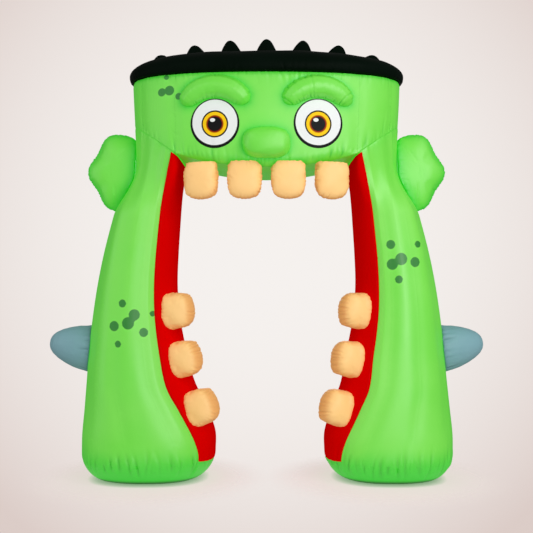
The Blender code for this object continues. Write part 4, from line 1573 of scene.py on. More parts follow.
@dataclass
class Header:
    """The air-filled drum that carries the face, and its underside over the passage."""

    edge: float = 0.05
    edge_fade: float = 0.12
    flatness: float = 0.15
    panel_columns: tuple[int, ...] = (54, 58, 128, 128, 58, 54) * 2
    edge_rows: int = 10
    wall_rows: int = 62
    under_rows: int = 18
    hem_creases: Gathers = Gathers(0.036, 0.048, 0.0040, 0.0078, 51)
    lip_creases: Gathers = Gathers(0.030, 0.045, 0.0036, 0.0078, 52)
    lip_long: Gathers = Gathers(0.120, 0.100, 0.0042, 0.0115, 53)
    panel_creases: Gathers = Gathers(0.060, 0.026, 0.0018, 0.0070, 54)
    lip_share: float = 0.7
    foot_fade: float = 0.03
    shoulder_fold: float = 0.0035
    valley: float = 0.0060
    valley_reach: float = 0.045
    highest: float = 0.003
    slack: Ripples = Ripples(0.38, 0.0035, 57)
    slack_fade: float = 0.05
    under_slack: Ripples = Ripples(0.30, 0.004, 58)
    unsewn: tuple[int, int] = (3, 9)
    stitch_lift: float = 0.0004
    # Painted shade in creases, and near the crown, brows, snout, ears and upper teeth.
    crease_tint: float = 0.0065
    deepening: float = 0.75
    neighbours: tuple[str, ...] = (
        "crown", "brow_left", "brow_right", "snout", "ear_left", "ear_right",
        "tooth_upper_1", "tooth_upper_2", "tooth_upper_3", "tooth_upper_4",
    )

    def seam_angles(self) -> Array:
        """Angles of the drum's vertical seams."""
        corner = math.acos((MOUTH_X / DRUM_ROWS[0, 1]) ** (HEADER_SQUARENESS / 2))
        quarter = [0.0, corner / 2, corner, math.pi / 2]
        half = quarter + [math.pi - a for a in reversed(quarter[:-1])]
        return np.array(half + [2 * math.pi - a for a in reversed(half[:-1])])

    def outline(self) -> Array:
        """Outline of a drum of half width and half depth 1, with slightly flat panels.

        Returns:
            Points x and y, in order.
        """
        seams = self.seam_angles()
        power = 2.0 / HEADER_SQUARENESS

        def point(angle: Array) -> Array:
            """Point of the round outline."""
            return signed_power(np.stack([np.cos(angle), np.sin(angle)], axis=-1), power)

        parts = []
        for start, end, count in zip(seams, seams[1:], self.panel_columns):
            share = crowded(count)[:, None]
            chord = mix(point(start), point(end), share)
            parts.append(mix(point(mix(start, end, share[:, 0])), chord, self.flatness))
        return np.concatenate(parts)

    def sewn_seams(self) -> list[tuple[int, int]]:
        """Number and column of each vertical seam, without those in the middle of front and back."""
        numbered = enumerate(first_columns(self.panel_columns))
        return [(number, column) for number, column in numbered if number not in self.unsewn]

    def underside(self, x: Array) -> Array:
        """Height of the underside: an arch over the passage, then a slope over each leg."""
        reach = np.abs(x)
        arch = UNDERSIDE_Z + UNDERSIDE_ARCH * (reach / MOUTH_X) ** 2
        slope = UNDERSIDE_Z + UNDERSIDE_ARCH + SHOULDER_SLOPE * (reach - MOUTH_X)
        return np.where(reach <= MOUTH_X, arch, slope)

    def edge_ring(self, turn: float) -> Array:
        """Ring part of the way round the lower edge.

        Args:
            turn: angle from the underside to the wall.

        Returns:
            Points of the ring.
        """
        drawn_in, lift = 1.0 - math.sin(turn), 1.0 - math.cos(turn)
        unit = self.outline()
        height = np.full(len(unit), UNDERSIDE_Z)
        for _ in range(3):
            half = smooth_rows(DRUM_ROWS, height)
            reach = np.abs(unit[:, 0]) * half[:, 0]
            over_mouth = 1.0 - smoothstep(reach, MOUTH_X - self.edge_fade, MOUTH_X)
            radius = SEAM_TUCK + (self.edge - SEAM_TUCK) * over_mouth
            x = unit[:, 0] * (half[:, 0] - drawn_in * radius)
            height = self.underside(x) + lift * radius
        return np.stack([x, unit[:, 1] * (half[:, 1] - drawn_in * radius), height], axis=-1)

    def skin(self) -> Skin:
        """The drum's cloth, from the edge of the underside up to the hem.

        Returns:
            The cloth.
        """
        turns = np.linspace(0.0, math.pi / 2, self.edge_rows)
        rings = [self.edge_ring(turn) for turn in turns]
        foot, unit = rings[-1], self.outline()
        for share in np.append(crowded(self.wall_rows, 0.35), 1.0)[1:]:
            height = mix(foot[:, 2], HEM_Z - GAP, share)
            half = smooth_rows(DRUM_ROWS, height)
            rings.append(np.stack([unit[:, 0] * half[:, 0], unit[:, 1] * half[:, 1], height], axis=-1))
        return Skin(np.stack(rings), True)

    def relief(self, skin: Skin) -> tuple[Array, dict[str, Array]]:
        """Gathers and slack over the drum, and the values that its finish reads.

        Args:
            skin: the drum's cloth.

        Returns:
            Heights, and the values by name.
        """
        down = skin.down()
        to_top = down[-1:] - down
        creases = skin.gathered(self.hem_creases, -1, to_top)
        foot = self.edge_rows
        lip = np.abs(down - down[foot : foot + 1] * self.lip_share)
        creases += skin.gathered(self.lip_creases, foot, lip)
        creases += skin.gathered(self.lip_long, foot, lip)
        on_leg = smoothstep(np.abs(skin.points[..., 0]), MOUTH_X - 0.02, MOUTH_X + 0.02)
        relief = tuck_in(to_top) + tuck_in(down, self.shoulder_fold) * on_leg
        seam_away = np.full(down.shape, 1.0)
        for number, column in self.sewn_seams():
            away = skin.away_from(column)
            creases += skin.gathered_down(self.panel_creases, number, away)
            relief += soft_valley(away, self.valley, self.valley_reach)
            seam_away = np.minimum(seam_away, away)
        from_ends = np.minimum(to_top, mix(1.0, down, on_leg))
        seam_away = np.minimum(seam_away, from_ends)
        slack = self.slack.relief(skin.points)
        relief += creases + slack * smoothstep(seam_away, 0.0, self.slack_fade)
        values = {"seam": from_ends, "crease": crease_mask(creases, self.crease_tint)}
        return np.minimum(relief, self.highest), values

    def build(self) -> Object:
        """Make the header and its underside.

        Returns:
            The header's finished piece.
        """
        skin = self.skin()
        relief, values = self.relief(skin)
        skin.push(relief * smoothstep(skin.down(), 0.0, self.foot_fade))
        maker = MeshMaker()
        points = skin.points + BODY_SHIFT
        # Painted shade near the neighbouring pieces.
        values["tone"] = -self.deepening * crowding(points, self.neighbours)
        index = maker.add_points(points, spot=spot_distance(points, skin.normals()), **values)
        maker.add_grid(index, True)
        front = np.arange(points.shape[1] // 2 + 1)
        share = np.linspace(0.0, 1.0, self.under_rows + 1)[1:-1][:, None, None]
        strip = mix(points[0, front], points[0, -front], share)
        over = 1.0 - smoothstep(np.abs(strip[..., 0]), MOUTH_X - 0.05, MOUTH_X + 0.01)
        strip[..., 2] += self.under_slack.relief(strip) * over * np.sin(math.pi * share[..., 0])
        under = maker.add_points(strip, seam=0.3, spot=1.0)
        maker.add_grid(np.concatenate([index[:1, front], under, index[:1, -front]]), False)
        maker.add_fan(index[-1], points[-1].mean(axis=0))
        piece = maker.build("header_skin")
        dress(piece, GREEN, "header")
        self.build_stitches(skin)
        return piece

    def build_stitches(self, skin: Skin) -> None:
        """Sew the drum's vertical seams and the hem.

        Args:
            skin: the drum's cloth.
        """
        lifted = skin.points + skin.normals() * self.stitch_lift + BODY_SHIFT
        first = self.edge_rows + 1
        paths = [(lifted[first:-3, column + 1], False) for _, column in self.sewn_seams()]
        paths.append((lifted[-4], True))
        StitchRow("header_stitches", GREEN_THREAD).build(paths)


@dataclass
class Crown:
    """The black domed top with its rolled hem."""

    header: Header
    bulge: float = 0.022
    edge: float = 0.045
    rise: float = 0.135
    power: float = 10 / 3
    edge_rows: int = 12
    dome_rows: int = 44
    hem_creases: Gathers = Gathers(0.040, 0.045, 0.0044, 0.0068, 71)
    fine_creases: Gathers = Gathers(0.021, 0.018, 0.0018, 0.0050, 72)
    slack: Ripples = Ripples(0.34, 0.006, 73)
    slack_fade: Pair = (0.02, 0.20)
    highest: float = 0.004
    # Crease depth at which the painted shade in a crease is full.
    crease_tint: float = 0.0060

    def build(self) -> None:
        """Make the crown."""
        unit = self.header.outline()
        half = DRUM_ROWS[-1, 1:]
        rings = []
        for turn in np.linspace(0.0, math.pi / 2, self.edge_rows):
            inset = -self.bulge * math.sin(turn)
            height = HEM_Z + GAP + self.edge * (1.0 - math.cos(turn))
            rings.append(np.column_stack([unit * (half - inset), np.full(len(unit), height)]))
        for turn in np.linspace(0.0, math.pi / 2, self.dome_rows)[1:-1]:
            ring = unit * (half + self.bulge) * math.cos(turn) ** (2 / self.power)
            height = HEM_Z + self.edge + self.rise * math.sin(turn)
            rings.append(np.column_stack([ring, np.full(len(unit), height)]))
        skin = Skin(np.stack(rings), True)
        down = skin.down()
        creases = skin.gathered(self.hem_creases, self.edge_rows, down)
        creases += skin.gathered(self.fine_creases, self.edge_rows, down)
        relief = tuck_in(down) + creases
        relief += self.slack.relief(skin.points) * smoothstep(down, *self.slack_fade)
        skin.push(np.minimum(relief, self.highest))
        points = skin.points + BODY_SHIFT
        maker = MeshMaker()
        index = maker.add_points(points, seam=down, crease=crease_mask(creases, self.crease_tint))
        maker.add_grid(index, True)
        maker.add_fan(index[0], points[0].mean(axis=0))
        top = points[-1].mean(axis=0)
        top[2] = points[-1, :, 2].max()
        maker.add_fan(index[-1], top)
        piece = maker.build("crown_skin")
        dress(piece, BLACK, "crown")


# -------- eyes


@dataclass
class EyePatch:
    """A round printed patch sewn to the header's front."""

    side: Side
    x: float = 0.315
    z: float = 2.245
    radius: float = 0.150
    rings: int = 24
    spokes: int = 120
    evening: int = 4
    bulge: float = 0.4
    curving: float = 1.04

    def build(self, header: Object) -> None:
        """Lay the patch on the header's cloth.

        Args:
            header: the header's finished skin.
        """
        tree = BVHTree.FromObject(header, bpy.context.evaluated_depsgraph_get())
        middle = self.side.value * self.x
        angles = np.linspace(0.0, 2 * math.pi, self.spokes, endpoint=False)
        near, across, up = [], [], []
        for ring in range(self.rings + 1):
            reach = max(self.radius * ring / self.rings, 1e-4)
            row = []
            for angle in angles:
                dx, dz = reach * math.cos(angle), reach * math.sin(angle)
                start = Vector((middle + dx, -2.0, self.z + dz))
                spot, *_ = tree.ray_cast(start, Vector((0.0, 1.0, 0.0)))
                row.append(tuple(spot))
            near.append(row)
            across.append(reach * np.cos(angles))
            up.append(reach * np.sin(angles))
        base = Skin(np.array(near), True)
        p = base.points
        for _ in range(self.evening):
            p[1:-1] = (p[1:-1] + p[:-2] + p[2:]) / 3
        normals = base.normals()
        if normals[..., 1].mean() > 0:
            normals = -normals
        lift = np.full((*normals.shape[:-1], 1), self.bulge * SHEET)
        lift[-1] = 0.0
        values = {"across": np.stack(across), "up": np.stack(up), "seam": 0.2}
        maker = MeshMaker()
        inner = maker.add_points(p + normals * GAP, **values)
        outer = maker.add_points(p + normals * (SHEET + lift), **values)
        maker.add_grid(inner, True)
        maker.add_grid(outer, True)
        maker.add_grid(np.stack([inner[-1], outer[-1]]), True)
        word = self.side.word
        patch = maker.build(f"eye_{word}_patch", weld=0.0003)
        dress(patch, EYE, f"eye_{word}")
        path = p[-2] + normals[-2] * (SHEET * 1.5)
        StitchRow(f"eye_{word}_stitches", BLACK_THREAD).build([(path, True)])


# -------- filled pads


OWN_PLACE = ("own_x", "own_y", "own_z")
SMOOTHING_STEPS = (0.60, -0.62)
AIR = {
    "quality": 4,
    "mass": 0.3,
    "tension_stiffness": 15.0,
    "compression_stiffness": 15.0,
    "shear_stiffness": 5.0,
    "bending_stiffness": 0.6,
    "use_pressure": True,
    "uniform_pressure_force": 4.0,
    "vertex_group_mass": "sewn",
}


@dataclass
class Pad:
    """A filled piece, blown up from its plain solid by cloth simulation and gathered at its seams."""

    name: str
    node: str
    cloth: Cloth
    place: Matrix
    carriers: tuple[str, ...]
    voxel: float = 0.0075
    smoothing: int = 6
    slack: float = 0.006
    swell: float = 0.010
    frames: int = 12
    root_reach: float = 0.040
    sewn_within: float = 0.004
    still_within: float = 0.015
    flat_within: float = 0.006
    girth_share: float = 0.8
    seam_tuck: Pair = (0.0014, 0.0045)
    root_gathers: Gathers = Gathers(0.030, 0.030, 0.0034, 0.0058, 81)
    highest: float = 0.002
    # Painted shade in creases and near the pad's seams.
    crease_tint: float = 0.0060
    deepening: float = 0.7
    deepening_reach: float = 0.030

    def local(self, points: Array) -> Array:
        """Points in the pad's own frame, whose Z runs out from its root."""
        turn = np.array(self.place.inverted())
        return points @ turn[:3, :3].T + turn[:3, 3]

    def chance(self) -> int:
        """A number that differs from pad to pad."""
        return sum((i + 1) * ord(c) for i, c in enumerate(self.name))

    def edge_seams(self, own: Array) -> list[tuple[Array, Array, float, Gathers]]:
        """Seams other than the root's, as (along, away, length, gathers)."""
        return []

    def remeshed(self) -> Object:
        """The plain solid with an even grid of faces and no facets.

        Returns:
            The new piece.
        """
        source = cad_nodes[self.node].data.copy()
        bm = bmesh.new()
        bm.from_mesh(source)
        bmesh.ops.remove_doubles(bm, verts=bm.verts, dist=1e-5)
        bmesh.ops.recalc_face_normals(bm, faces=bm.faces)
        bm.to_mesh(source)
        bm.free()
        piece = add_object(self.name, source)
        even = piece.modifiers.new("even", "REMESH")
        even.mode = "VOXEL"
        even.voxel_size = self.voxel
        plain_mesh(piece)
        return piece

    def smoothed(self, piece: Object, held: Array) -> None:
        """Take out the facets, away from the root, without shrinking the piece.

        Args:
            piece: the evenly meshed piece.
            held: 1 where a point stays, 0 where it is free.
        """
        points, pull = read_points(piece.data), neighbour_pull(piece.data)
        free = (1.0 - held)[:, None]
        for step in range(2 * self.smoothing):
            points = points + free * SMOOTHING_STEPS[step % 2] * pull(points)
        write_points(piece.data, points)

    def blown_up(self, piece: Object, held: Array) -> None:
        """Fill the piece with air until its cloth is taut.

        Args:
            piece: the evenly meshed piece.
            held: 1 where a point is sewn down, 0 where it is free.
        """
        rest, normals = read_points(piece.data), read_points(piece.data, "normal")
        write_points(piece.data, rest - normals * (self.slack * (1.0 - held))[:, None])
        sewn = piece.vertex_groups.new(name="sewn")
        for share in (0.25, 0.5, 0.75, 1.0):
            chosen = np.nonzero(held >= share)[0]
            sewn.add([int(i) for i in chosen], share, "REPLACE")
        modifier = piece.modifiers.new("air", "CLOTH")
        for label, value in AIR.items():
            setattr(modifier.settings, label, value)
        modifier.settings.effector_weights.gravity = 0.0
        modifier.point_cache.frame_start = 1
        modifier.point_cache.frame_end = self.frames
        scene = bpy.context.scene
        for frame in range(1, self.frames + 1):
            scene.frame_set(frame)
        shape = piece.evaluated_get(bpy.context.evaluated_depsgraph_get())
        moved = read_points(shape.data) - rest
        piece.modifiers.clear()
        scene.frame_set(1)
        size = np.maximum(np.linalg.norm(moved, axis=1), 1e-9)
        cap = self.swell * (1.0 - held)
        moved *= np.minimum(1.0, cap / size)[:, None]
        write_points(piece.data, rest + moved)

    def build(self) -> None:
        """Make the pad."""
        piece = self.remeshed()
        away = distance_to(read_points(piece.data), self.carriers)
        held = 1.0 - smoothstep(away, self.sewn_within, self.root_reach)
        self.smoothed(piece, 1.0 - smoothstep(away, self.sewn_within, self.still_within))
        own = self.local(read_points(piece.data))
        for label, value in zip(OWN_PLACE, own.T):
            keep_value(piece.data, label, value)
        self.blown_up(piece, held)
        piece.vertex_groups.clear()
        finer = piece.modifiers.new("finer", "SUBSURF")
        finer.levels = finer.render_levels = 1
        plain_mesh(piece)
        self.gather(piece)
        piece.data.shade_smooth()
        dress(piece, self.cloth, self.node)

    def gather(self, piece: Object) -> None:
        """Press the creases of every seam into the pad, keep its distance from a seam and its crease
        depth, and paint shade near its seams.

        Args:
            piece: the blown-up piece.
        """
        mesh = piece.data
        points, normals = read_points(mesh), read_points(mesh, "normal")
        own = np.empty((3, len(points)), dtype=np.float32)
        for axis, label in enumerate(OWN_PLACE):
            mesh.attributes[label].data.foreach_get("value", own[axis])
            mesh.attributes.remove(mesh.attributes[label])
        own = own.T.astype(float)
        away = distance_to(points, self.carriers)
        seam = away.copy()
        girth = float(2 * math.pi * np.hypot(own[:, 0], own[:, 1]).max() * self.girth_share)
        along = turned(own[:, 1], own[:, 0]) * girth
        relief = self.root_gathers.reseeded(self.chance()).relief(along, away, girth)
        for along, from_seam, length, gathers in self.edge_seams(own):
            relief += gathers.reseeded(self.chance()).relief(along, from_seam, length)
            relief += tuck_in(from_seam, *self.seam_tuck)
            seam = np.minimum(seam, np.abs(from_seam))
        relief *= smoothstep(away, 0.0, self.flat_within)
        write_points(mesh, points + normals * np.minimum(relief, self.highest)[:, None])
        crease = crease_mask(relief, self.crease_tint)
        # Painted shade near the pad's seams, where it meets its carriers and round its edges.
        tone = -self.deepening * np.exp(-seam / self.deepening_reach)
        values = {"seam": seam, "spot": np.ones(len(own)), "crease": crease, "tone": tone}
        for label, value in values.items():
            keep_value(mesh, label, value)


def placed(origin: Vector, along: Vector, thick: Vector) -> Matrix:
    """Matrix whose +Z runs along a pad from its root and whose +Y is its thickness.

    Args:
        origin: middle of the root.
        along: way out from the root.
        thick: way through the thickness.

    Returns:
        The matrix.
    """
    z = along.normalized()
    x = thick.normalized().cross(z).normalized()
    matrix = Matrix((x, z.cross(x), z)).transposed().to_4x4()
    matrix.translation = origin + Vector((0.0, BODY_Y, 0.0))
    return matrix


@dataclass
class Tooth(Pad):
    """A boxy cushion of two panels with their seam round its outline."""

    width: float = 0.255
    thickness: float = 0.17
    length: float = 0.25
    edge_radius: float = 0.075
    middle: float = 0.46
    outline_share: float = 2.9
    edge_gathers: Gathers = Gathers(0.023, 0.052, 0.0042, 0.0056, 90)

    def edge_seams(self, own: Array) -> list[tuple[Array, Array, float, Gathers]]:
        """The seam round the outline, from which the creases run onto the front and the back.

        Args:
            own: points in the pad's own frame.

        Returns:
            Each seam as (along, away, length, gathers).
        """
        halves = np.array([self.width, self.thickness, self.length]) / 2
        share = (own - np.array([0.0, 0.0, self.middle * self.length])) / halves
        out = share**3 / halves
        turn = np.arctan2(np.hypot(out[:, 0], out[:, 2]), np.abs(out[:, 1]))
        away = (math.pi / 2 - turn) * self.edge_radius
        girth = self.outline_share * (self.width + self.length) / 2
        along = turned(share[:, 2], share[:, 0]) * girth
        return [(along, away, girth, self.edge_gathers)]


@dataclass
class Ear(Pad):
    """A flat lobed ear with its seam round the rim."""

    reach: float = 0.285
    half_height: float = 0.285
    lobes: int = 6
    lobe_depth: float = 0.055
    evening: int = 80
    evening_step: float = 0.6
    evening_fade: Pair = (0.015, 0.060)
    rim_radius: float = 0.27
    rim_gathers: Gathers = Gathers(0.022, 0.036, 0.0040, 0.0052, 101)
    # Stronger, wider painted shade near the ear's seams.
    deepening: float = 1.0
    deepening_reach: float = 0.050

    def rim_distance(self, own: Array) -> Array:
        """Distance of each point from the lobed rim, seen from the front."""
        angle = np.arctan2(own[:, 0], own[:, 2])
        rim = np.hypot(self.reach * np.cos(angle), self.half_height * np.sin(angle))
        rim = rim * (1.0 - self.lobe_depth * (1.0 - np.cos(self.lobes * angle)))
        return np.maximum(0.0, rim - np.hypot(own[:, 0], own[:, 2]))

    def smoothed(self, piece: Object, held: Array) -> None:
        """Take out the facets, and even out the two faces between the rim and the root.

        Args:
            piece: the evenly meshed piece.
            held: 1 where a point stays, 0 where it is free.
        """
        super().smoothed(piece, held)
        points, pull = read_points(piece.data), neighbour_pull(piece.data)
        inside = smoothstep(self.rim_distance(self.local(points)), *self.evening_fade)
        free = self.evening_step * (1.0 - held) * inside
        for _ in range(self.evening):
            points[:, 1] += free * pull(points)[:, 1]
        write_points(piece.data, points)

    def edge_seams(self, own: Array) -> list[tuple[Array, Array, float, Gathers]]:
        """The seam round the rim, from which the creases run inwards."""
        away = self.rim_distance(own) + np.abs(own[:, 1]) * 0.3
        length = 2 * math.pi * self.rim_radius
        along = turned(own[:, 0], own[:, 2]) * length
        return [(along, away, length, self.rim_gathers)]


# -------- all pads


FORWARD, UPWARD = Vector((0.0, -1.0, 0.0)), Vector((0.0, 0.0, 1.0))


class SmoothBody:
    """Places on the plain legs and header that pads are sewn to."""

    def __init__(self) -> None:
        """Keep the legs' shapes."""
        self.legs = {side: LegForm.of(side) for side in Side}

    def header_front(self, x: float) -> float:
        """Y of the header's front just above its lower edge."""
        half_width, half_depth = smooth_rows(DRUM_ROWS, np.array(UNDERSIDE_Z + 0.1))
        share = min(1.0, abs(x) / half_width)
        return float(-half_depth * (1.0 - share**HEADER_SQUARENESS) ** (1.0 / HEADER_SQUARENESS))

    def front_normal(self, x: float) -> Vector:
        """Level direction out of the header's front."""
        step = 0.01
        slope = (self.header_front(x + step) - self.header_front(x - step)) / (2 * step)
        return Vector((slope, -1.0, 0.0)).normalized()

    def leg_spot(self, side: Side, angle: float, height: float) -> tuple[Vector, Vector]:
        """Point on a leg and the direction out of it, both as if the leg were the right one.

        Args:
            side: the leg's side.
            angle: turn from the inner side.
            height: height of the point.

        Returns:
            The point and the direction.
        """
        step = 0.01
        form = self.legs[side]

        def point(a: float, z: float) -> Vector:
            """Point of the round outline."""
            return Vector(form.outline(np.array(a), np.array(z), np.array(0.0)))

        across = point(angle + step, height) - point(angle - step, height)
        upwards = point(angle, height + step) - point(angle, height - step)
        out = across.cross(upwards).normalized()
        return point(angle, height), -out if out.x > 0 else out


@dataclass
class Mouth:
    """The teeth: a row under the header's front edge and a row down each lining."""

    body: SmoothBody
    upper_x: tuple[float, ...] = (0.135, 0.405)
    upper_z: float = 2.02
    upper_inset: float = 0.06
    side_z: tuple[float, ...] = (0.47, 0.78, 1.09)
    side_angle: float = math.radians(30)
    side_inset: float = 0.05

    def upper(self, number: int, x: float) -> Tooth:
        """A tooth under the header."""
        origin = Vector((x, self.body.header_front(x) + self.upper_inset, self.upper_z))
        place = placed(origin, Vector((0.0, 0.0, -1.0)), self.body.front_normal(x))
        name = f"tooth_upper_{number}"
        return Tooth(f"{name}_pad", name, CREAM, place, ("header",))

    def side(self, side: Side, number: int, height: float) -> Tooth:
        """A tooth on a lining.

        Args:
            side: the lining's side.
            number: the tooth's number, from the lowest.
            height: height of its middle.

        Returns:
            The tooth.
        """
        spot, out = self.body.leg_spot(side, self.side_angle, height)
        place = placed(spot - out * self.side_inset, out, out.cross(UPWARD))
        if side is Side.LEFT:
            flip = Matrix.Diagonal((-1.0, 1.0, 1.0, 1.0))
            place = flip @ place @ flip
        name = f"tooth_{side.word}_{number}"
        carriers = (f"lining_{side.word}", f"leg_{side.word}")
        size = {"width": 0.265, "thickness": 0.235, "length": 0.225}
        return Tooth(f"{name}_pad", name, CREAM, place, carriers, **size)

    def build(self) -> None:
        """Make every tooth."""
        spots = sorted([-x for x in self.upper_x] + list(self.upper_x))
        for number, x in enumerate(spots, 1):
            self.upper(number, x).build()
        for side in Side:
            for number, height in enumerate(self.side_z, 1):
                self.side(side, number, height).build()


@dataclass
class Trimmings:
    """Brows, snout, ears, horns and the crest."""

    body: SmoothBody
    snout_z: float = 2.125
    snout_inset: float = 0.05
    brow_at: Pair = (0.315, 2.245)
    ear_at: Triple = (0.90, 0.02, 1.995)
    horn_at: Triple = (1.165, 0.0, 0.84)
    horn_tilt: float = math.radians(10)
    spike_count: int = 7
    spike_pitch: float = 0.225
    spike_z: float = 2.70
    spike_fan: float = 0.45

    def build(self) -> None:
        """Make every trimming."""
        root_y = self.body.header_front(0.0) + self.snout_inset
        snout = placed(Vector((0.0, root_y, self.snout_z)), FORWARD, UPWARD)
        Pad("snout_pad", "snout", GREEN, snout, ("header",)).build()
        for side in Side:
            self.build_pair(side.word, Vector((side.value, 1.0, 1.0)))
        for number in range(self.spike_count):
            x = (number - (self.spike_count - 1) / 2) * self.spike_pitch
            along = Vector((x * self.spike_fan, 0.0, 1.0))
            spike = placed(Vector((x, 0.0, self.spike_z)), along, FORWARD)
            name = f"spike_{number + 1}"
            gathers = Gathers(0.024, 0.022, 0.0022, 0.0050, 87 + number)
            Pad(
                f"{name}_pad", name, BLACK, spike, ("crown",),
                voxel=0.007, swell=0.006, root_reach=0.03, root_gathers=gathers,
            ).build()

    def build_pair(self, word: str, side: Vector) -> None:
        """Make one side's brow, ear and horn.

        Args:
            word: the side's name.
            side: the factors that bring a place on the right to this side.
        """
        x, z = self.brow_at
        brow = placed(Vector((x, self.body.header_front(x), z)) * side, FORWARD, UPWARD)
        gathers = Gathers(0.024, 0.050, 0.0060, 0.0052, 83)
        Pad(
            f"brow_{word}_pad", f"brow_{word}", GREEN, brow, ("header",),
            smoothing=14, swell=0.008, root_reach=0.03, root_gathers=gathers, crease_tint=0.0040,
        ).build()
        ear = placed(Vector(self.ear_at) * side, Vector((side.x, 0.0, 0.0)), FORWARD)
        carriers = ("header", f"leg_{word}")
        Ear(f"ear_{word}_pad", f"ear_{word}", GREEN, ear, carriers, smoothing=24, swell=0.007).build()
        along = Vector((side.x * math.cos(self.horn_tilt), 0.0, math.sin(self.horn_tilt)))
        horn = placed(Vector(self.horn_at) * side, along, FORWARD)
        gathers = Gathers(0.040, 0.070, 0.0065, 0.0070, 85)
        Pad(
            f"horn_{word}_pad", f"horn_{word}", SLATE, horn, (f"leg_{word}",),
            smoothing=14, root_gathers=gathers,
        ).build()


# -------- studio


@dataclass(frozen=True)
class Softbox:
    """A large soft light."""

    name: str
    place: Triple
    aim: Triple
    size: Pair
    watts: float
    colour: Triple = (1.0, 1.0, 1.0)

    def build(self) -> None:
        """Hang the light."""
        lamp = bpy.data.lights.new(self.name, "AREA")
        lamp.shape = "RECTANGLE"
        lamp.size, lamp.size_y = self.size
        lamp.energy = self.watts
        lamp.color = self.colour
        holder = add_object(self.name, lamp)
        holder.visible_camera = False
        holder.location = self.place
        way = Vector(self.aim) - Vector(self.place)
        holder.rotation_euler = way.to_track_quat("-Z", "Y").to_euler()


LIGHTS = (
    Softbox("front softbox", (2.2, -5.6, 2.0), (0.0, 0.0, 1.3), (2.4, 3.4), 134.0),
    Softbox("high right softbox", (3.0, -3.5, 4.2), (0.0, 0.0, 1.3), (2.0, 2.0), 62.0),
    Softbox("high left softbox", (-3.0, -3.5, 4.2), (0.0, 0.0, 1.3), (2.0, 2.0), 20.0),
    Softbox("left strip", (-5.4, -1.8, 2.0), (0.0, 0.0, 1.3), (1.0, 3.4), 28.0),
    Softbox("back fill", (0.0, 6.5, 3.0), (0.0, 0.0, 1.4), (4.0, 3.0), 70.0),
)


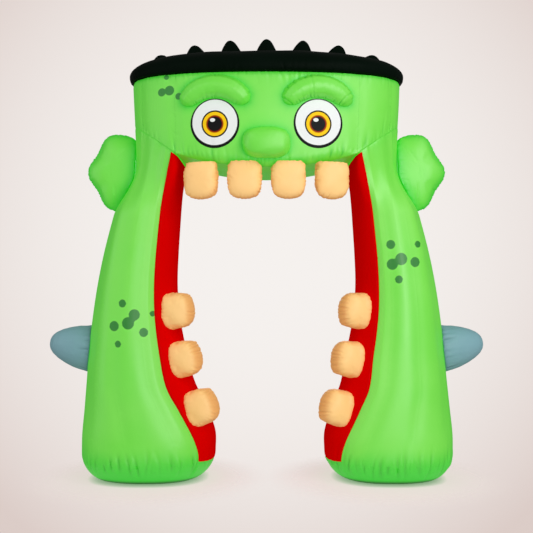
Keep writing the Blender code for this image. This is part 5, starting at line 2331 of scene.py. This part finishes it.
@dataclass
class Studio:
    """Pale seamless studio, soft lights and the camera at the photograph's angle."""

    distance: float = 6.37
    eye_height: float = 1.289
    sensor: float = 36.0
    focal_pixels: float = 970.0
    frame_pixels: float = 533.0
    horizon_pixel: float = 280.0
    glow_pixel: float = 235.0
    glow_colour: Triple = (0.915, 0.880, 0.855)
    edge_colour: Triple = (0.728, 0.628, 0.595)
    edge_angle: float = math.radians(21)
    edge_power: float = 1.4
    edge_limit: float = 1.08
    side_angles: Pair = (math.radians(26), math.radians(40))
    side_share: float = 0.85
    floor_colour: Triple = (0.30, 0.29, 0.29)
    floor_light: Triple = (0.640, 0.545, 0.530)
    floor_weight: float = 0.85
    # A painted contact shadow within this reach of the feet, in a green colour as painted bounce light
    # from the cloth.
    contact_reach: float = 0.050
    contact_light: Triple = (0.10, 0.30, 0.10)
    foot_x: float = 0.78
    foot_size: Pair = (0.44, 0.52)
    floor_radius: float = 4.0
    floor_fade: Pair = (1.05, 1.9)
    ambient_colour: tuple[float, float, float, float] = (1.0, 0.985, 0.97, 1.0)
    ambient_fade: Pair = (-0.3, 0.8)
    ambient: float = 0.30
    ambient_behind: float = 0.17

    def build(self) -> None:
        """Set up everything around the arch."""
        self.build_floor()
        self.build_world()
        for light in LIGHTS:
            light.build()
        self.build_camera()
        bpy.context.scene.view_settings.view_transform = "Standard"

    def build_floor(self) -> None:
        """Lay a floor that fades out into the backdrop and glows as evenly as it, with soft shadows
        round the feet that are partly cast and partly painted into its glow from ambient occlusion,
        tinted green as painted bounce light.
        """
        bm = bmesh.new()
        bmesh.ops.create_circle(bm, cap_ends=True, segments=96, radius=self.floor_radius)
        mesh = bpy.data.meshes.new("floor")
        bm.to_mesh(mesh)
        bm.free()
        floor = add_object("floor", mesh)
        made = bpy.data.materials.new("pale floor")
        made.use_nodes = True
        g = Graph(made.node_tree)
        made.node_tree.nodes.clear()
        out = g.node("ShaderNodeOutputMaterial")
        # Painted contact shadow: ambient occlusion darkens the floor's glow round the feet.
        occlusion = g.fed("ShaderNodeAmbientOcclusion", {"Distance": self.contact_reach}, samples=8)
        painted_shadow, lit = (*self.contact_light, 1.0), (*self.floor_light, 1.0)
        paper = g.fed(
            "ShaderNodeBsdfPrincipled",
            {
                "Base Color": (*self.floor_colour, 1.0),
                "Roughness": 0.8,
                "Specular IOR Level": 0.0,
                "Emission Color": g.blend(occlusion.outputs["AO"], painted_shadow, lit),
                "Emission Strength": 1.0,
            },
        )
        clear = g.node("ShaderNodeBsdfTransparent")
        way = g.place()
        for operation, value in (
            ("ABSOLUTE", None),
            ("SUBTRACT", (self.foot_x, -BODY_Y, 0.0)),
            ("MULTIPLY", (1.0 / self.foot_size[0], 1.0 / self.foot_size[1], 0.0)),
            ("LENGTH", None),
        ):
            values = {0: way, 1: value} if value else {0: way}
            step = g.fed("ShaderNodeVectorMath", values, operation=operation)
            way = step.outputs["Value" if operation == "LENGTH" else 0]
        weight = g.span(way, *self.floor_fade, self.floor_weight, 0.0)
        both = g.fed("ShaderNodeMixShader", {0: weight, 1: clear.outputs[0], 2: paper.outputs[0]})
        g.join(both.outputs[0], out.inputs["Surface"])
        mesh.materials.append(made)

    def build_world(self) -> None:
        """Paint a backdrop that glows in its middle, and give an even light that is dim behind."""
        world = bpy.data.worlds.new("studio")
        bpy.context.scene.world = world
        world.use_nodes = True
        g = Graph(world.node_tree)
        world.node_tree.nodes.clear()
        out = g.node("ShaderNodeOutputWorld")
        way = g.node("ShaderNodeTexCoord").outputs["Generated"]
        rise = (self.horizon_pixel - self.glow_pixel) / self.focal_pixels
        middle = Vector((0.0, 1.0, rise)).normalized()
        towards = g.fed("ShaderNodeVectorMath", {0: way, 1: middle}, operation="DOT_PRODUCT")
        off = g.math("SUBTRACT", 1.0, towards.outputs["Value"])
        reach = g.math("DIVIDE", off, 1.0 - math.cos(self.edge_angle))
        share = g.math("MINIMUM", g.math("POWER", reach, self.edge_power), self.edge_limit)
        beside = g.span(off, *(1.0 - math.cos(angle) for angle in self.side_angles), 0.0, 1.0)
        away = g.math("MULTIPLY", g.math("SUBTRACT", self.side_share, share), beside)
        share = g.math("ADD", share, away)
        glow, edge = (*self.glow_colour, 1.0), (*self.edge_colour, 1.0)
        seen = g.fed("ShaderNodeBackground", {"Color": g.blend(share, glow, edge, clamp_factor=False)})
        backwards = g.fed("ShaderNodeSeparateXYZ", {0: way}).outputs[1]
        strength = g.span(backwards, *self.ambient_fade, self.ambient, self.ambient_behind)
        felt = g.fed("ShaderNodeBackground", {"Color": self.ambient_colour, "Strength": strength})
        ray = g.node("ShaderNodeLightPath").outputs["Is Camera Ray"]
        both = g.fed("ShaderNodeMixShader", {0: ray, 1: felt.outputs[0], 2: seen.outputs[0]})
        g.join(both.outputs[0], out.inputs["Surface"])

    def build_camera(self) -> None:
        """Place the camera in front of the arch at eye height, looking level."""
        lens = bpy.data.cameras.new("camera")
        lens.sensor_width = self.sensor
        lens.lens = self.focal_pixels / self.frame_pixels * self.sensor
        lens.shift_y = (self.horizon_pixel - self.frame_pixels / 2) / self.frame_pixels
        lens.clip_end = 1000.0
        camera = add_object("camera", lens)
        camera.location = (0.0, BODY_Y - self.distance, self.eye_height)
        camera.rotation_euler = (math.pi / 2, 0.0, 0.0)
        bpy.context.scene.camera = camera


# -------- the arch


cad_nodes: dict[str, Object] = {}


def main() -> None:
    """Build the arch's looks around the frame."""
    logging.basicConfig(level=logging.INFO, format="%(message)s")
    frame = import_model()
    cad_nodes.update(frame["nodes"])
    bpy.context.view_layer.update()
    Studio().build()
    for side in Side:
        Leg(side).build()
    header = Header()
    header_skin = header.build()
    Crown(header).build()
    for side in Side:
        EyePatch(side).build(header_skin)
    body = SmoothBody()
    Mouth(body).build()
    Trimmings(body).build()


if __name__ == "__main__":
    main()
